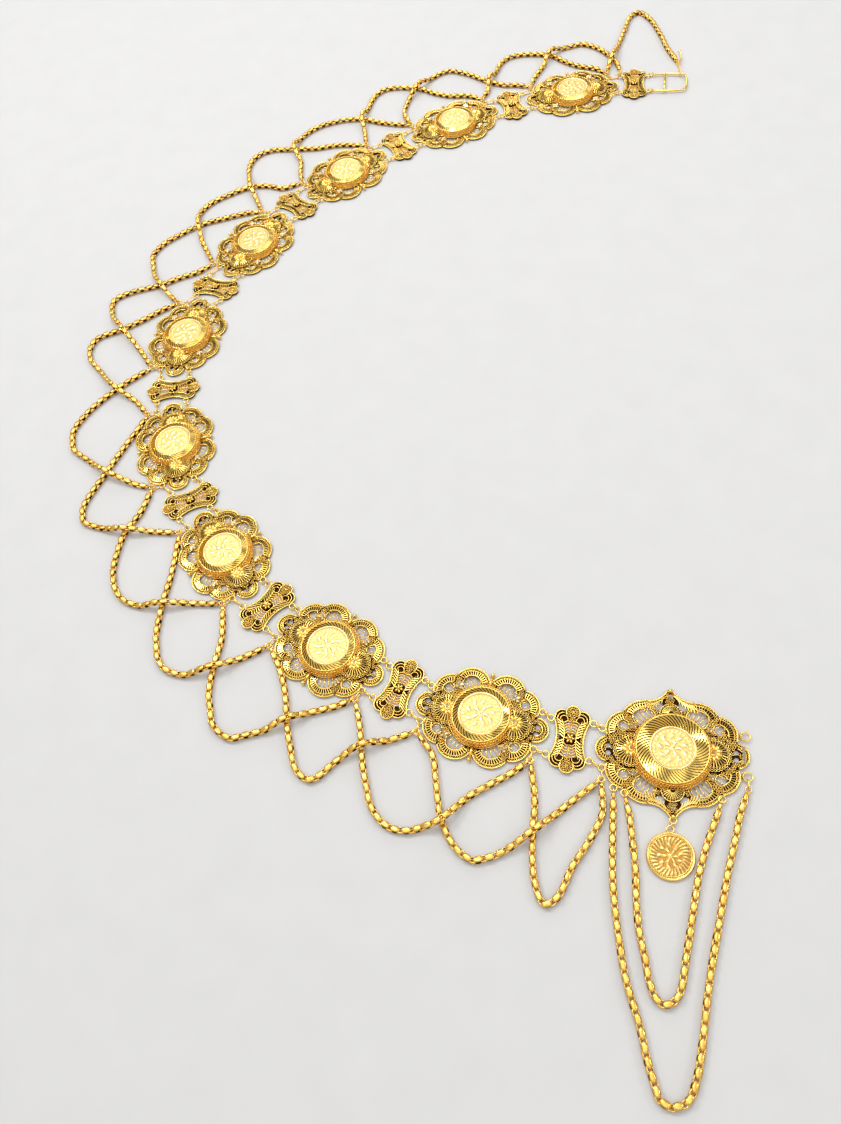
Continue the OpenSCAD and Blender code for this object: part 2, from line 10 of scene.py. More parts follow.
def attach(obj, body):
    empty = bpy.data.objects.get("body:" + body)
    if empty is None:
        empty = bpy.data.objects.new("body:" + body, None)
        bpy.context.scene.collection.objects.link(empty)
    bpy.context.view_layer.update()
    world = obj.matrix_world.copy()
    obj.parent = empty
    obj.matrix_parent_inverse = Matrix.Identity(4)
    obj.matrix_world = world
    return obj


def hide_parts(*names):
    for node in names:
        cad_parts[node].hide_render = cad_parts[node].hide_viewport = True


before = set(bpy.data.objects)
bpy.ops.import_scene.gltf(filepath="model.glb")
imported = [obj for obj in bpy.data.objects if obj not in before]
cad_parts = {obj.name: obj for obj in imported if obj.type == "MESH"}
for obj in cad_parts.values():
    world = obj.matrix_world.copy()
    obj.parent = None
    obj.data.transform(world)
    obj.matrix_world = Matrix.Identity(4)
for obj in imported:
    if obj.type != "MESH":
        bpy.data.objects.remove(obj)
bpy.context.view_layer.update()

# Layout, in millimetres. x, y and turn of each plate, then of the last spacer.
MM = 0.001
PLATES = [
    (73, 106.5, -18), (8.5, 137.5, -29), (-44.5, 181.5, -46.5), (-82.5, 239.5, -69),
    (-100, 307, -90.5), (-88.5, 376, -112), (-46, 432.5, -133.5), (11.5, 471.5, -155),
    (79, 492, -170), (149, 494, -186.5),
]
LAST_SPACER = (184, 488.5, -198)
BELT_MID = np.array([33.27, 275.94])

# Camera, measured from the photograph: its place over the belt, its tilt and its roll
CAMERA_AT = (0, 0, 350.3)
CAMERA_DOWN = 58.8
CAMERA_ROLL = -13.75
FOCAL_PX = 963.19
PHOTO_H = 1124

# Outline of a plate: u, v and radius of each lobe, mirrored to all four quarters
MEDALLION_LOBES = [(21.4, 0, 5.1), (14, 7.5, 7.3), (7, 11.6, 7.6)]
BUCKLE_LOBES = [(22.6, 0, 5.2), (16.5, 7.6, 7.6), (9.5, 11, 9)]
OGEE = (8.7, 28.5, 8.6)
CORNER = (22.35, 7.6)
BUCKLE_CORNER = (25.15, 7.6)
SPACER_CORNER = (8, 7.3)
# What lies on a plate.
# foot, edge: radius and height of the wall's foot and of the fluted ring's edge.
# coin: its radius and height, and the ring's drop below it. cuts, slant: those of the fluted ring.
# gaps: u, v and radius of openings, mirrored as the lobes are: at the ends, at the shoulders, the
# windows and, on the buckle, in its points.
# bars: distance from the coin's middle where bars start, and their pitch, at shoulders and windows.
# cluster: u, v and size of the balls in each corner. reach: half the area laid out with grains.
MEDALLION = {
    "foot": (12.4, 1.9), "edge": (11.0, 4.1), "wall_rows": 2, "coin": (8.5, 5.0, 0.4),
    "cuts": 44, "slant": 0.25, "gaps": [(21.9, 1.5, 1.1), (15.4, 8.8, 2.1), (6.8, 11.9, 3.9)],
    "bars": [(13.6, 1.3), (12.4, 1.35)], "rosette_u": 13.2, "cluster": (11.4, 10.4, 1.0),
    "reach": (27, 20),
}
BUCKLE = {
    "foot": (14.2, 1.9), "edge": (13.0, 5.3), "wall_rows": 3, "coin": (8.2, 6.0, 0.55),
    "cuts": 54, "slant": 0.36,
    "gaps": [(22.9, 1.4, 1.1), (17.3, 9.5, 2.1), (9.7, 13.3, 4.1), (4.5, 18.1, 1.9)],
    "bars": [(15.6, 1.3), (14.2, 1.3)], "rosette_u": 14.6, "cluster": (13.6, 9.0, 0.9),
    "reach": (28, 23),
}
ROSETTE_R = 6.9
# How far a plate's dark sheet of painted shade and its grains stay inside its outline
EDGE_INSET, GRAIN_INSET = 0.4, 0.8
# The ribbed edge of a plate: how far it reaches in, on large and small lobes, and its pitch
RIM_DEPTH = 3.5
SMALL_RIM_DEPTH = 2.5
LARGE_LOBE = 6
RIB_PITCH = 1.3
# Depth of the cuts in a fluted ring
CUT_DEPTH = 0.24
# Post, tongue and lip of the hook under the buckle's coin: two corners each
HIDDEN_HOOK = [((-2.2, -3, 0.5), (-1.0, 3, 5.2)), ((-6.6, -3, 0.5), (-1.0, 3, 1.5)),
               ((-6.6, -3, 0.5), (-5.6, 3, 2.3))]

# Rings and links. R: radius to the middle of the wire. H: half the height. L: length. Z: height of
# the middle above the ground. LEG: from a ring's middle to the leg of the link that holds it.
RING_R, RING_WIRE, RING_Z = 1.25, 0.32, 1.4
LINK_WIRE, LEG, LINK_H = 0.23, 0.58, 1.0
HANG_H, HANG_Z, HANG_L = 1.3, 1.65, 4.0
EYE_R, EYE_SLACK, EYE_LOW, EYE_HIGH, LEG_BEND = 1.1, 0.2, 1.1, 2.2, 0.14
STAND_EYE_Z = 1.5
LOOSE_EYE_U, LOOSE_EYE_R, LOOSE_Z, LOOSE_R, LOOSE_WIRE = 24.75, 0.95, 1.3, 1.7, 0.3
LOOP_LINK_L = 3.7
TIP_RING_V = -25.2
LOOP_RINGS = [(-20.9, -14.9), (-17, -16.5), (17.2, -16.5)]

# Chains
CHAIN_R = 1.4
CHAIN_Z = CHAIN_R * math.cos(math.pi / 8)
HUMP = 3.3
# How far from the middle of an end ring a chain starts, and where it is down on the ground
CHAIN_START, CHAIN_DOWN = 1.0, 4.0
# Size of a chain's end links, and the length over which they grow to full size
END_SIZE, TAPER = 0.45, 3.0
# How far a link's middle stays above the height of the chain's own middle on the ground
LINK_LIFT = 0.15
CHAIN_PITCH = 2.08
# Length and height of the two kinds of link, their band's thickness, and the most they roll, in radians
FACE_LINK, SIDE_LINK = (3.9, 2.3), (2.8, 2.5)
BAND_T = 0.42
LINK_ROLL = 0.2

# Pendant, clasp frame and end hook
PENDANT_R, PENDANT_U, PENDANT_RING_V, PENDANT_T = 8.4, -1.1, -28.5, 1.6
CLASP_TURN, CLASP_L, CLASP_WIRE, CLASP_Z = -200.5, 21, 0.54, 1.5
CLASP_HALF, CLASP_BAR_U, CLASP_END_U = (7.3, 7.9, 7.2), -9, -19
CLASP_BOW, CLASP_EYE_R, CLASP_EYE_WIRE = (1.2, 6.6, 2.5), 1.2, 0.28
HOOK_U, HOOK_TURN, HOOK_L, HOOK_WIRE, HOOK_TAIL_Z = -17.4, 76, 12, 0.34, 1.8
HOOK_TAIL = [(0, 0), (2.4, -1.7), (6, -2), (10, -1.6)]

# Studio: the floor's darkest and lightest grey, the brightness of the surroundings at the horizon
# and overhead, and the sine of the elevation where their soft panels begin and are full
FLOOR_GREYS = (0.58, 0.62)
SKY_LOW, SKY_HIGH = 0.28, 1.0
PANELS_FROM, PANELS_FULL = 0.42, 0.62

# Chain routes: x, y, and 1 where the chain passes over its neighbour
ROUTES = [
    [(42, 91), (35, 83), (26, 75), (19, 67), (14, 65), (12, 70), (13, 79), (16, 90), (20, 102)],
    [(36, 99), (27, 95), (16, 90, 1), (4, 86), (-6, 85), (-12, 91), (-15, 102), (-14, 116),
     (-13, 127)],
    [(14, 113), (6, 111), (-4, 108), (-15, 102, 1), (-25, 101), (-34, 104), (-39, 112), (-40, 124),
     (-39, 137), (-38, 146)],
    [(-28, 137), (-39, 137, 1), (-49, 134), (-60, 129), (-65, 134), (-66, 144), (-66, 155),
     (-65, 167), (-66, 179)],
    [(-47, 156), (-56, 156), (-66, 155, 1), (-77, 153), (-88, 153), (-95, 160), (-96, 172),
     (-93, 185), (-88, 198)],
    [(-80, 187), (-93, 185, 1), (-106, 186), (-114, 192), (-116, 203), (-112, 221), (-107, 235),
     (-104, 246)],
    [(-98, 218), (-112, 221, 1), (-123, 224), (-130, 230), (-133, 240), (-131, 252), (-126, 264),
     (-119, 272)],
    [(-113, 260), (-126, 264, 1), (-137, 269), (-146, 276), (-145, 284), (-134, 300), (-126, 311),
     (-118, 321)],
    [(-120, 289), (-134, 300, 1), (-142, 310), (-150, 321), (-149, 331), (-140, 342), (-127, 351),
     (-117, 356)],
    [(-118, 341), (-127, 351, 1), (-134, 365), (-140, 379), (-136, 389), (-122, 392), (-111, 395),
     (-100, 399)],
    [(-113, 373), (-122, 392, 1), (-127, 405), (-125, 415), (-114, 418), (-100, 418), (-89, 420),
     (-79, 421)],
    [(-95, 408), (-100, 418, 1), (-103, 430), (-103, 441), (-97, 449), (-87, 454), (-75, 458),
     (-62, 459), (-50, 459)],
    [(-73, 437), (-75, 448), (-75, 458, 1), (-74, 467), (-67, 474), (-55, 478), (-43, 480),
     (-33, 477), (-25, 472)],
    [(-41, 468), (-43, 480, 1), (-43, 492), (-39, 503), (-30, 508), (-14, 504), (-2, 500),
     (11, 498)],
    [(-14, 480), (-12, 492), (-14, 504, 1), (-9, 512), (0, 518), (14, 520), (29, 516), (37, 510),
     (45, 505)],
    [(28, 504), (29, 516, 1), (34, 525), (40, 535), (48, 539), (66, 532), (74, 524), (82, 518),
     (92, 514)],
    [(53, 511), (58, 523), (66, 532, 1), (76, 539), (86, 542), (96, 535), (107, 522), (114, 516),
     (121, 513)],
    [(104, 514), (107, 522, 1), (113, 530), (119, 538), (127, 541), (147, 533), (153, 524),
     (160, 516), (167, 511)],
    [(133, 516), (140, 524), (147, 533, 1), (156, 537), (166, 537), (174, 530), (180, 516),
     (181, 509)],
    [(175, 509), (180, 516, 1), (187, 527), (195, 540), (202, 551), (208, 554), (212, 545),
     (213, 530), (212, 515)],
]
LOOP_OUTER = [
    (45, 88), (41, 76), (38, 66), (35, 51), (33, 36), (33, 22), (32, 10), (32, 2), (36, -2),
    (41, -1), (46, 5), (51, 14), (57, 26), (63, 37), (70, 49), (77, 61), (84, 72), (89, 80),
]
LOOP_INNER = [
    (51, 88), (49, 78), (47, 69), (44, 59), (42, 50), (41, 40), (40, 31), (43, 26), (48, 28),
    (54, 38), (61, 51), (67, 62), (73, 71), (80, 80),
]

UP = np.array([0.0, 0.0, 1.0])
TAU = 2 * math.pi
# The fifth finish is a pale, nearly white gold that paints the glints of the cut balls.
# The fourth finish is near-black painted shade.
PLAIN, BRIGHT, COIN, PAINTED_SHADE, PAINTED_GLINT = 0, 1, 2, 3, 4


def unit(v):
    v = np.asarray(v, float)
    return v / np.linalg.norm(v, axis=-1, keepdims=True)


def turned(angle):
    """Unit direction at an angle in radians."""
    return np.array([math.cos(angle), math.sin(angle)])


def at(plate, u, v):
    """A plate's own point u, v in the belt's frame."""
    c, s = turned(math.radians(plate[2]))
    return np.array([plate[0] + u * c - v * s, plate[1] + u * s + v * c])


def out_dir(plate):
    """Direction from a plate to the belt's outer side, where the chains hang."""
    c, s = turned(math.radians(plate[2]))
    return np.array([s, -c])


def corner_of(i):
    return BUCKLE_CORNER if i == 0 else CORNER


def spacer(i):
    """Spacer i lies half-way between the facing ends of plates i - 1 and i."""
    if i == 10:
        return LAST_SPACER
    mid = (at(PLATES[i - 1], -corner_of(i - 1)[0], 0) + at(PLATES[i], CORNER[0], 0)) / 2
    return (mid[0], mid[1], (PLATES[i - 1][2] + PLATES[i][2]) / 2)


def plate_ring(i, side, row):
    return at(PLATES[i], side * corner_of(i)[0], row * corner_of(i)[1])


def spacer_ring(i, side, row):
    return at(spacer(i), side * SPACER_CORNER[0], row * SPACER_CORNER[1])


def hang_ring(j):
    return spacer_ring(10, 1, -1) if j == 20 else plate_ring(j // 2, 1 if j % 2 == 0 else -1, -1)


def hang_dir(j):
    return out_dir(spacer(10) if j == 20 else PLATES[j // 2])


def hang_leg(j):
    return hang_ring(j) + (LEG + HANG_L - LEG_BEND) * hang_dir(j)


LOOP_LEG = at(PLATES[0], LOOSE_EYE_U + LOOSE_R, -BUCKLE_CORNER[1] - 0.9)
CLASP_PLACE = (*at(LAST_SPACER, -SPACER_CORNER[0], 0), CLASP_TURN)
HOOK_DIR = turned(math.radians(HOOK_TURN))
HOOK_START = at(CLASP_PLACE, HOOK_U, -CLASP_HALF[2]) - 1.2 * HOOK_DIR
HOOK_LEG = HOOK_START + (HOOK_L - LEG_BEND) * HOOK_DIR


def running(steps):
    """Running total of steps, from zero."""
    return np.concatenate([[0], np.cumsum(steps)])


def grid_faces(rows, cols, close_rows=False):
    """Quads of a grid of points laid out row by row, each row a closed ring."""
    i = np.arange(rows if close_rows else rows - 1)[:, None]
    j = np.arange(cols)[None, :]
    a, b = i * cols + j, i * cols + (j + 1) % cols
    below = ((i + 1) % rows) * cols
    return np.stack([a, b, below + (j + 1) % cols, below + j], -1).reshape(-1, 4)


class Soup:
    """Points and faces of many small forms that become one mesh, in millimetres."""

    def __init__(self):
        self.points, self.faces, self.finish, self.smooth, self.count = [], [], [], [], 0

    def add(self, points, faces, finish=PLAIN, smooth=True):
        """Points and their faces. The finish is one for all faces, or one for each."""
        points = np.asarray(points, float).reshape(-1, 3)
        self.points.append(points)
        for f in faces if isinstance(faces, list) else [faces]:
            self.faces.append(f + self.count)
            self.finish.append(np.full(len(f), finish))
            self.smooth.append(np.full(len(f), smooth))
        self.count += len(points)

    def scatter(self, form, places, scale=1.0, turns=None, finish=PLAIN, smooth=True):
        """Copies of one small form at many places, each turned about Z."""
        points, faces = form
        places = np.asarray(places, float).reshape(-1, 3)
        turns = np.zeros(len(places)) if turns is None else np.asarray(turns, float)
        c, s = np.cos(turns)[:, None], np.sin(turns)[:, None]
        p = points * scale
        x, y = p[:, 0] * c - p[:, 1] * s, p[:, 0] * s + p[:, 1] * c
        z = np.broadcast_to(p[:, 2], x.shape)
        block = np.stack([x, y, z], -1) + places[:, None]
        steps = (np.arange(len(places)) * len(points))[:, None, None]
        self.add(block, [(f[None] + steps).reshape(-1, f.shape[1]) for f in faces], finish, smooth)

    def tube(self, path, radius, sides=6, closed=False, up=UP, finish=BRIGHT, smooth=True):
        path = np.asarray(path, float)
        if closed:
            tangent = unit(np.roll(path, -1, 0) - np.roll(path, 1, 0))
        else:
            tangent = unit(np.gradient(path, axis=0))
        side = unit(np.cross(up, tangent))
        lift = np.cross(tangent, side)
        a = (np.arange(sides) + 0.5) * TAU / sides
        spread = np.cos(a)[:, None] * side[:, None] + np.sin(a)[:, None] * lift[:, None]
        radius = np.broadcast_to(np.asarray(radius, float), (len(path),))
        faces = [grid_faces(len(path), sides, closed)]
        if not closed:
            last = (len(path) - 1) * sides
            faces += [np.arange(sides)[None, ::-1], last + np.arange(sides)[None]]
        self.add(path[:, None] + radius[:, None, None] * spread, faces, finish, smooth)

    def rib(self, start, end, radius):
        """Straight bright rib with a flat top, between two points x, y, z."""
        self.tube([start, end], radius, 4, smooth=False)

    def lathe(self, profile, count, centre=(0, 0), wave=None, finish=PLAIN):
        """A profile of r, z turned about Z. wave(angle, r, z) returns a change of height."""
        profile = np.asarray(profile, float)
        a = np.arange(count) * TAU / count
        r = np.broadcast_to(profile[:, :1], (len(profile), count))
        z = np.broadcast_to(profile[:, 1:], r.shape)
        if wave:
            z = z + wave(a[None], r, z)
        points = np.stack([centre[0] + r * np.cos(a), centre[1] + r * np.sin(a), z], -1)
        self.add(points, grid_faces(len(profile), count), finish)

    def piece(self, name, materials, slot, node, place):
        """The piece of this mesh."""
        mesh = bpy.data.meshes.new(name)
        points = np.concatenate(self.points) * MM
        loops = np.concatenate([f.ravel() for f in self.faces]).astype(np.int32)
        sizes = np.concatenate([np.full(len(f), f.shape[1]) for f in self.faces])
        starts = running(sizes)[:-1].astype(np.int32)
        mesh.vertices.add(len(points))
        mesh.vertices.foreach_set("co", points.astype(np.float32).ravel())
        mesh.loops.add(len(loops))
        mesh.loops.foreach_set("vertex_index", loops)
        mesh.polygons.add(len(sizes))
        mesh.polygons.foreach_set("loop_start", starts)
        mesh.polygons.foreach_set("material_index", np.concatenate(self.finish).astype(np.int32))
        mesh.polygons.foreach_set("use_smooth", np.concatenate(self.smooth))
        for material in materials:
            mesh.materials.append(material)
        mesh.update(calc_edges=True)
        return place_piece(name, mesh, node, place)


def place_piece(name, mesh, node, place):
    """A mesh at x, y and turn, riding on the belt and standing for its CAD node."""
    piece = bpy.data.objects.new(name, mesh)
    bpy.context.scene.collection.objects.link(piece)
    spot = Vector(((place[0] - BELT_MID[0]) * MM, (place[1] - BELT_MID[1]) * MM, 0))
    piece.matrix_world = Matrix.Translation(spot) @ Matrix.Rotation(math.radians(place[2]), 4, "Z")
    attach(piece, "root")
    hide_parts(node)
    return piece


# Small forms
def ring_form(r, wire, count=12, sides=5):
    a, b = np.arange(count) * TAU / count, (np.arange(sides) + 0.5) * TAU / sides
    reach = r + wire * np.cos(b)[None]
    points = np.stack([reach * np.cos(a)[:, None], reach * np.sin(a)[:, None],
                       np.broadcast_to(wire * np.sin(b), (count, sides))], -1)
    return points.reshape(-1, 3), [grid_faces(count, sides, True)]


def ball_form(r, count=8, rows=4):
    lat = np.linspace(-math.pi / 2, math.pi / 2, rows + 1)[1:-1]
    a = np.arange(count) * TAU / count
    body = np.stack([np.cos(lat)[:, None] * np.cos(a), np.cos(lat)[:, None] * np.sin(a),
                     np.broadcast_to(np.sin(lat)[:, None], (len(lat), count))], -1).reshape(-1, 3)
    points = r * np.concatenate([body, [[0, 0, -1], [0, 0, 1]]])
    j, k = np.arange(count), (np.arange(count) + 1) % count
    top = (len(lat) - 1) * count
    low = np.stack([np.full(count, len(body)), k, j], -1)
    high = np.stack([np.full(count, len(body) + 1), top + j, top + k], -1)
    return points, [grid_faces(len(lat), count), low, high]


GRAIN = ring_form(0.4, 0.12, 6, 4)
BEAD = ball_form(0.42, 6, 4)
CUT_BALL = ball_form(0.8, 6, 3)
PETAL = (ball_form(1.0, 10, 6)[0] * (1.4, 0.8, 0.75), ball_form(1.0, 10, 6)[1])
SOLDER_RING = ring_form(RING_R, RING_WIRE, 18, 6)


def quarters(rows):
    """Each row u, v, r mirrored to all four quarters, without doubles."""
    return sorted({(su * u, sv * v, r) for u, v, r in rows for su in (-1, 1) for sv in (-1, 1)})


def on_circle(centre, r, angles):
    """Points x, y on a circle, one for each angle."""
    return np.stack([centre[0] + r * np.cos(angles), centre[1] + r * np.sin(angles)], -1)


def even(count, start=0.0):
    """Angles that share a full turn evenly."""
    return start + np.arange(count) * TAU / count


def circle_line(centre, r, start, end, step=0.8):
    """Points x, y along an arc."""
    n = max(3, int(abs(end - start) * abs(r) / step) + 1)
    return on_circle(centre, r, np.linspace(start, end, n))


def lifted(line, z):
    return np.column_stack([line, np.broadcast_to(z, len(line))])


def longest_run(keep):
    """Indices of the longest unbroken run of true values round a closed line."""
    if keep.all():
        return np.arange(len(keep))
    order = (np.argmin(keep) + np.arange(len(keep))) % len(keep)
    runs = np.split(order, np.flatnonzero(~keep[order]))
    return max(runs, key=len)[1:]


def visible_arcs(circles, keep=None):
    """The longest free arc of each circle: its centre, r, start and end.

    It is free outside all other circles, and where keep(points) is true. Arcs of 8 degrees or less
    are left out.
    """
    arcs = []
    for u, v, r in circles:
        a = even(360)
        rim = on_circle((u, v), r, a)
        free = keep(rim) if keep else np.ones(len(a), bool)
        for other in circles:
            if other != (u, v, r):
                free &= ~in_circles(rim, [other])
        run = longest_run(free)
        if len(run) > 8:
            arcs.append(((u, v), r, a[run[0]], a[run[0]] + (len(run) - 1) * TAU / 360))
    return arcs


def spokes(soup, centre, angles, start, end, radii, sweep=0.0, clear_r=0.0):
    """Ribs from one circle to another, both r, z. None ends within clear_r of the coin's middle."""
    for p, q in zip(on_circle(centre, start[0], angles), on_circle(centre, end[0], angles - sweep)):
        if np.hypot(*q) > clear_r:
            soup.rib((*p, start[1]), (*q, end[1]), radii)


def rim_depth(r):
    return RIM_DEPTH if r > LARGE_LOBE else SMALL_RIM_DEPTH


def rim_bands(soup, centre, r, start, end):
    """The edge of one lobe: outer wire, a row of grains, a thin wire, ribs and an inner arc."""
    depth = rim_depth(r)

    def line(inset, trim=0.0):
        return circle_line(centre, r - inset, start + trim / r, end - trim / r)

    def spread(pitch):
        n = max(2, int((end - start) * r / pitch))
        return start + (np.arange(n) + 0.5) * (end - start) / n

    soup.tube(lifted(line(0.27), 1.1), 0.27)
    soup.scatter(GRAIN, lifted(on_circle(centre, r - 0.98, spread(0.95)), 1.2), 1.1, finish=BRIGHT)
    soup.tube(lifted(line(1.5), 1.25), 0.14, 4, finish=PLAIN)
    start_at, end_at = (r - 1.45, 1.35), (r - depth, 1.6)
    spokes(soup, centre, spread(RIB_PITCH), start_at, end_at, (0.18, 0.13), 0.3 / r)
    soup.tube(lifted(line(depth, 0.4), 1.6), 0.25)


def window_bars(soup, circle, inner_r, step, z=1.2):
    """Thin bars across a window, each on a line from the coin's middle."""
    u, v, r = circle
    edge = on_circle((u, v), r + 0.05, even(36))
    run = longest_run(np.hypot(edge[:, 0], edge[:, 1]) > inner_r)
    soup.tube(lifted(edge[run], z - 0.1), 0.22, 5)
    middle, reach = math.atan2(v, u), math.hypot(u, v)
    spread = math.asin(min(0.95, r / reach))
    count = max(2, int(2 * spread * inner_r / step))
    for angle in middle + (np.arange(count) + 0.5 - count / 2) * 2 * spread / count:
        d = turned(angle)
        along = d @ (u, v)
        half = math.sqrt(max(0.0, r * r - (reach * reach - along * along)))
        low, high = max(inner_r - 0.2, along - half), along + half
        if high - low > 0.8:
            soup.tube([(*(low * d), z + 0.3), (*(high * d), z)], 0.23, 5)


def fill_grains(soup, inside, reach, step=1.04, z=1.2):
    """Small open grains laid close together over the region where inside(points) is true."""
    rows = np.arange(-reach[1], reach[1] + step, step * 0.87)
    places = np.array([(u + (n % 2) * step / 2, v) for n, v in enumerate(rows)
                       for u in np.arange(-reach[0], reach[0] + step, step)])
    soup.scatter(GRAIN, lifted(places[inside(places)], z), 1.12)


def in_circles(p, circles, grow=0.0):
    hit = np.zeros(len(p), bool)
    for u, v, r in circles:
        hit |= np.hypot(p[:, 0] - u, p[:, 1] - v) < r + grow
    return hit


def in_ribs(p, arcs):
    """Whether points lie in the ribbed edge of any lobe."""
    hit = np.zeros(len(p), bool)
    for (u, v), r, start, end in arcs:
        d = np.hypot(p[:, 0] - u, p[:, 1] - v)
        angle = (np.arctan2(p[:, 1] - v, p[:, 0] - u) - start) % TAU
        hit |= (d > r - rim_depth(r) - 0.4) & (angle < end - start)
    return hit


def rosette(soup, u, clear_r):
    """Domed dish of fine spokes in a ring of grains, with a bright flower in the middle."""
    # Dark dome under the spokes: painted shade in the gaps between them.
    soup.lathe([(6.5, 0.9), (6.4, 1.3), (5.5, 1.4), (3.3, 2.5), (0.05, 2.7)], 32, (u, 0), finish=PAINTED_SHADE)
    for r, n, z in ((6.15, 34, 1.6), (5.45, 30, 1.75)):
        dots = on_circle((u, 0), r, even(n))
        clear = np.hypot(dots[:, 0], dots[:, 1]) > clear_r
        soup.scatter(GRAIN, lifted(dots[clear], z), 1.25, finish=BRIGHT)
    spokes(soup, (u, 0), even(28), (2.4, 3.0), (5.2, 2.0), (0.17, 0.24), clear_r=clear_r)
    a = even(10, 0.3)
    soup.scatter(PETAL, lifted(on_circle((u, 0), 2.15, a), 3.0), 1.0, a, BRIGHT)
    soup.lathe([(3.2, 2.4), (3.1, 2.8), (1.5, 3.3), (0.05, 3.5)], 24, (u, 0), finish=BRIGHT)
    cut_balls(soup, [(u, 0, 3.9)], 1.1)


def ring_wire(soup, r, z, wire, sides=6, step=0.7):
    """Bright wire round the plate's middle."""
    soup.tube(lifted(circle_line((0, 0), r, 0, TAU, step)[:-1], z), wire, sides, closed=True)


def relief_ring(wave, share, middle, width, gain=1.8):
    """Forms raised where the wave is, in a soft ring. share, middle and width: of the coin's radius."""
    return np.clip(gain * wave, 0, 1) * np.exp(-((share - middle) / width) ** 2)


def coin_face(soup, h, r):
    """Coin with a raised edge and a generic flower in a ring of leaves."""
    def relief(angle, radius, z):
        share = radius / r
        flower = 0.42 * relief_ring(np.cos(5 * angle), share, 0.26, 0.12)
        leaves = 0.4 * relief_ring(np.cos(9 * angle + 7 * share), share, 0.56, 0.1)
        beads = 0.28 * relief_ring(np.cos(28 * angle), share, 0.8, 0.05)
        heart = 0.35 * relief_ring(1, share, 0, 0.09)
        return np.where(share < 0.89, flower + leaves + beads + heart, 0)

    rows = [(r, h - 0.5), (r, h - 0.05), (r - 0.2, h), (r - 0.45, h - 0.03), (r - 0.6, h - 0.45)]
    rows += [(r * s, h - 0.47) for s in np.linspace(0.9, 0.02, 24)]
    soup.lathe(rows, 84, wave=relief, finish=COIN)


def fluted_ring(soup, edge, inner, count, slant):
    """Nearly flat ring of slanting cuts, from its outer edge to the coin's edge. Both are r, z.

    Each cut is a bright facet that rises, a short wall back down and a dark flat strip of painted
    shade.
    """
    columns = (np.arange(count)[:, None] + [0, 0.62, 0.7]).ravel() * TAU / count
    lift = np.tile([0, CUT_DEPTH, 0], count)
    rows = []
    for share in np.linspace(0, 1, 5):
        r = edge[0] + (inner[0] - edge[0]) * share
        z = edge[1] + (inner[1] - edge[1]) * share
        angle = columns - slant * share
        rows.append(lifted(on_circle((0, 0), r, angle), z + lift))
    faces = grid_faces(len(rows), 3 * count)
    # The flat strips get the painted-shade finish.
    soup.add(rows, faces, np.where(np.arange(len(faces)) % 3 == 2, PAINTED_SHADE, BRIGHT), False)
    for (r, z), wire in ((edge, 0.24), (inner, 0.16)):
        ring_wire(soup, r, z, wire)


def bezel_wall(soup, foot, edge, rows):
    """Steep wall of open grains under the fluted ring, between two wires."""
    soup.lathe([(foot[0], 0.9), (foot[0], foot[1] - 0.3), (edge[0] - 0.2, edge[1] - 0.1)], 60)
    for share in (np.arange(rows) + 0.5) / rows:
        r = foot[0] + 0.05 + (edge[0] - foot[0]) * share
        z = foot[1] + (edge[1] - foot[1]) * share
        soup.scatter(GRAIN, lifted(on_circle((0, 0), r, even(int(TAU * r / 1.15))), z), 1.3)
    ring_wire(soup, foot[0] + 0.35, 1.55, 0.18, 4, 1.0)


def cut_balls(soup, places, scale, turns=None):
    # Cut balls get the pale finish of painted glints.
    soup.scatter(CUT_BALL, places, scale, turns, PAINTED_GLINT, False)


def cut_cluster(soup, u, v, scale):
    """Four bright-cut balls round a fifth."""
    a = even(4, 0.6)
    cut_balls(soup, lifted(on_circle((u, v), 1.05 * scale, a), 1.9), scale, a)
    cut_balls(soup, [(u, v, 2.4)], 0.9 * scale)


def solder_rings(soup, places):
    """Rings lying flat. Each place starts with its u, v."""
    soup.scatter(SOLDER_RING, [(*place[:2], RING_Z) for place in places], finish=BRIGHT)


def plate_face(soup, plate, core, inside):
    """All that lies within a plate's edges, and its dark sheet of painted shade.

    Grains lie where core(points) is true, and the sheet where inside(points) is.
    """
    for k in (2, 1):
        for circle in quarters(plate["gaps"][k:k + 1]):
            window_bars(soup, circle, *plate["bars"][k - 1])
    domes = [side * plate["rosette_u"] for side in (-1, 1)]
    taken = quarters(plate["gaps"]) + [(u, 0, ROSETTE_R) for u in domes]
    foot_r = plate["foot"][0]

    def grainy(p):
        return core(p) & (np.hypot(p[:, 0], p[:, 1]) > foot_r + 0.7) & ~in_circles(p, taken, 0.15)

    fill_grains(soup, grainy, plate["reach"])
    bezel_wall(soup, plate["foot"], plate["edge"], plate["wall_rows"])
    r, h, drop = plate["coin"]
    fluted_ring(soup, plate["edge"], (r + 0.15, h - drop), plate["cuts"], plate["slant"])
    coin_face(soup, h, r)
    for u in domes:
        rosette(soup, u, foot_r + 0.3)
    for u, v, size in quarters([plate["cluster"]]):
        cut_cluster(soup, u, v, size)
    # Dark sheet of painted shade under the plate's openwork
    sheet(soup, outline_of(inside), quarters(plate["gaps"]))


def medallion():
    soup = Soup()
    circles = quarters(MEDALLION_LOBES)
    arcs = visible_arcs(circles)
    for arc in arcs:
        rim_bands(soup, *arc)
    plate_face(soup, MEDALLION, lambda p: in_circles(p, circles, -GRAIN_INSET) & ~in_ribs(p, arcs),
               lambda p: in_circles(p, circles, -EDGE_INSET))
    for side in (-1, 1):
        path = [(0, side * 12.6, 1.6), (0, side * 14.5, 1.7), (0, side * 16.6, 1.5)]
        soup.tube(path, (0.75, 0.62, 0.55), 8)
        soup.scatter(ball_form(0.95, 10, 6), [(0, side * 17.6, 1.4)], finish=BRIGHT)
    solder_rings(soup, quarters([(*CORNER, 0)]))
    return soup


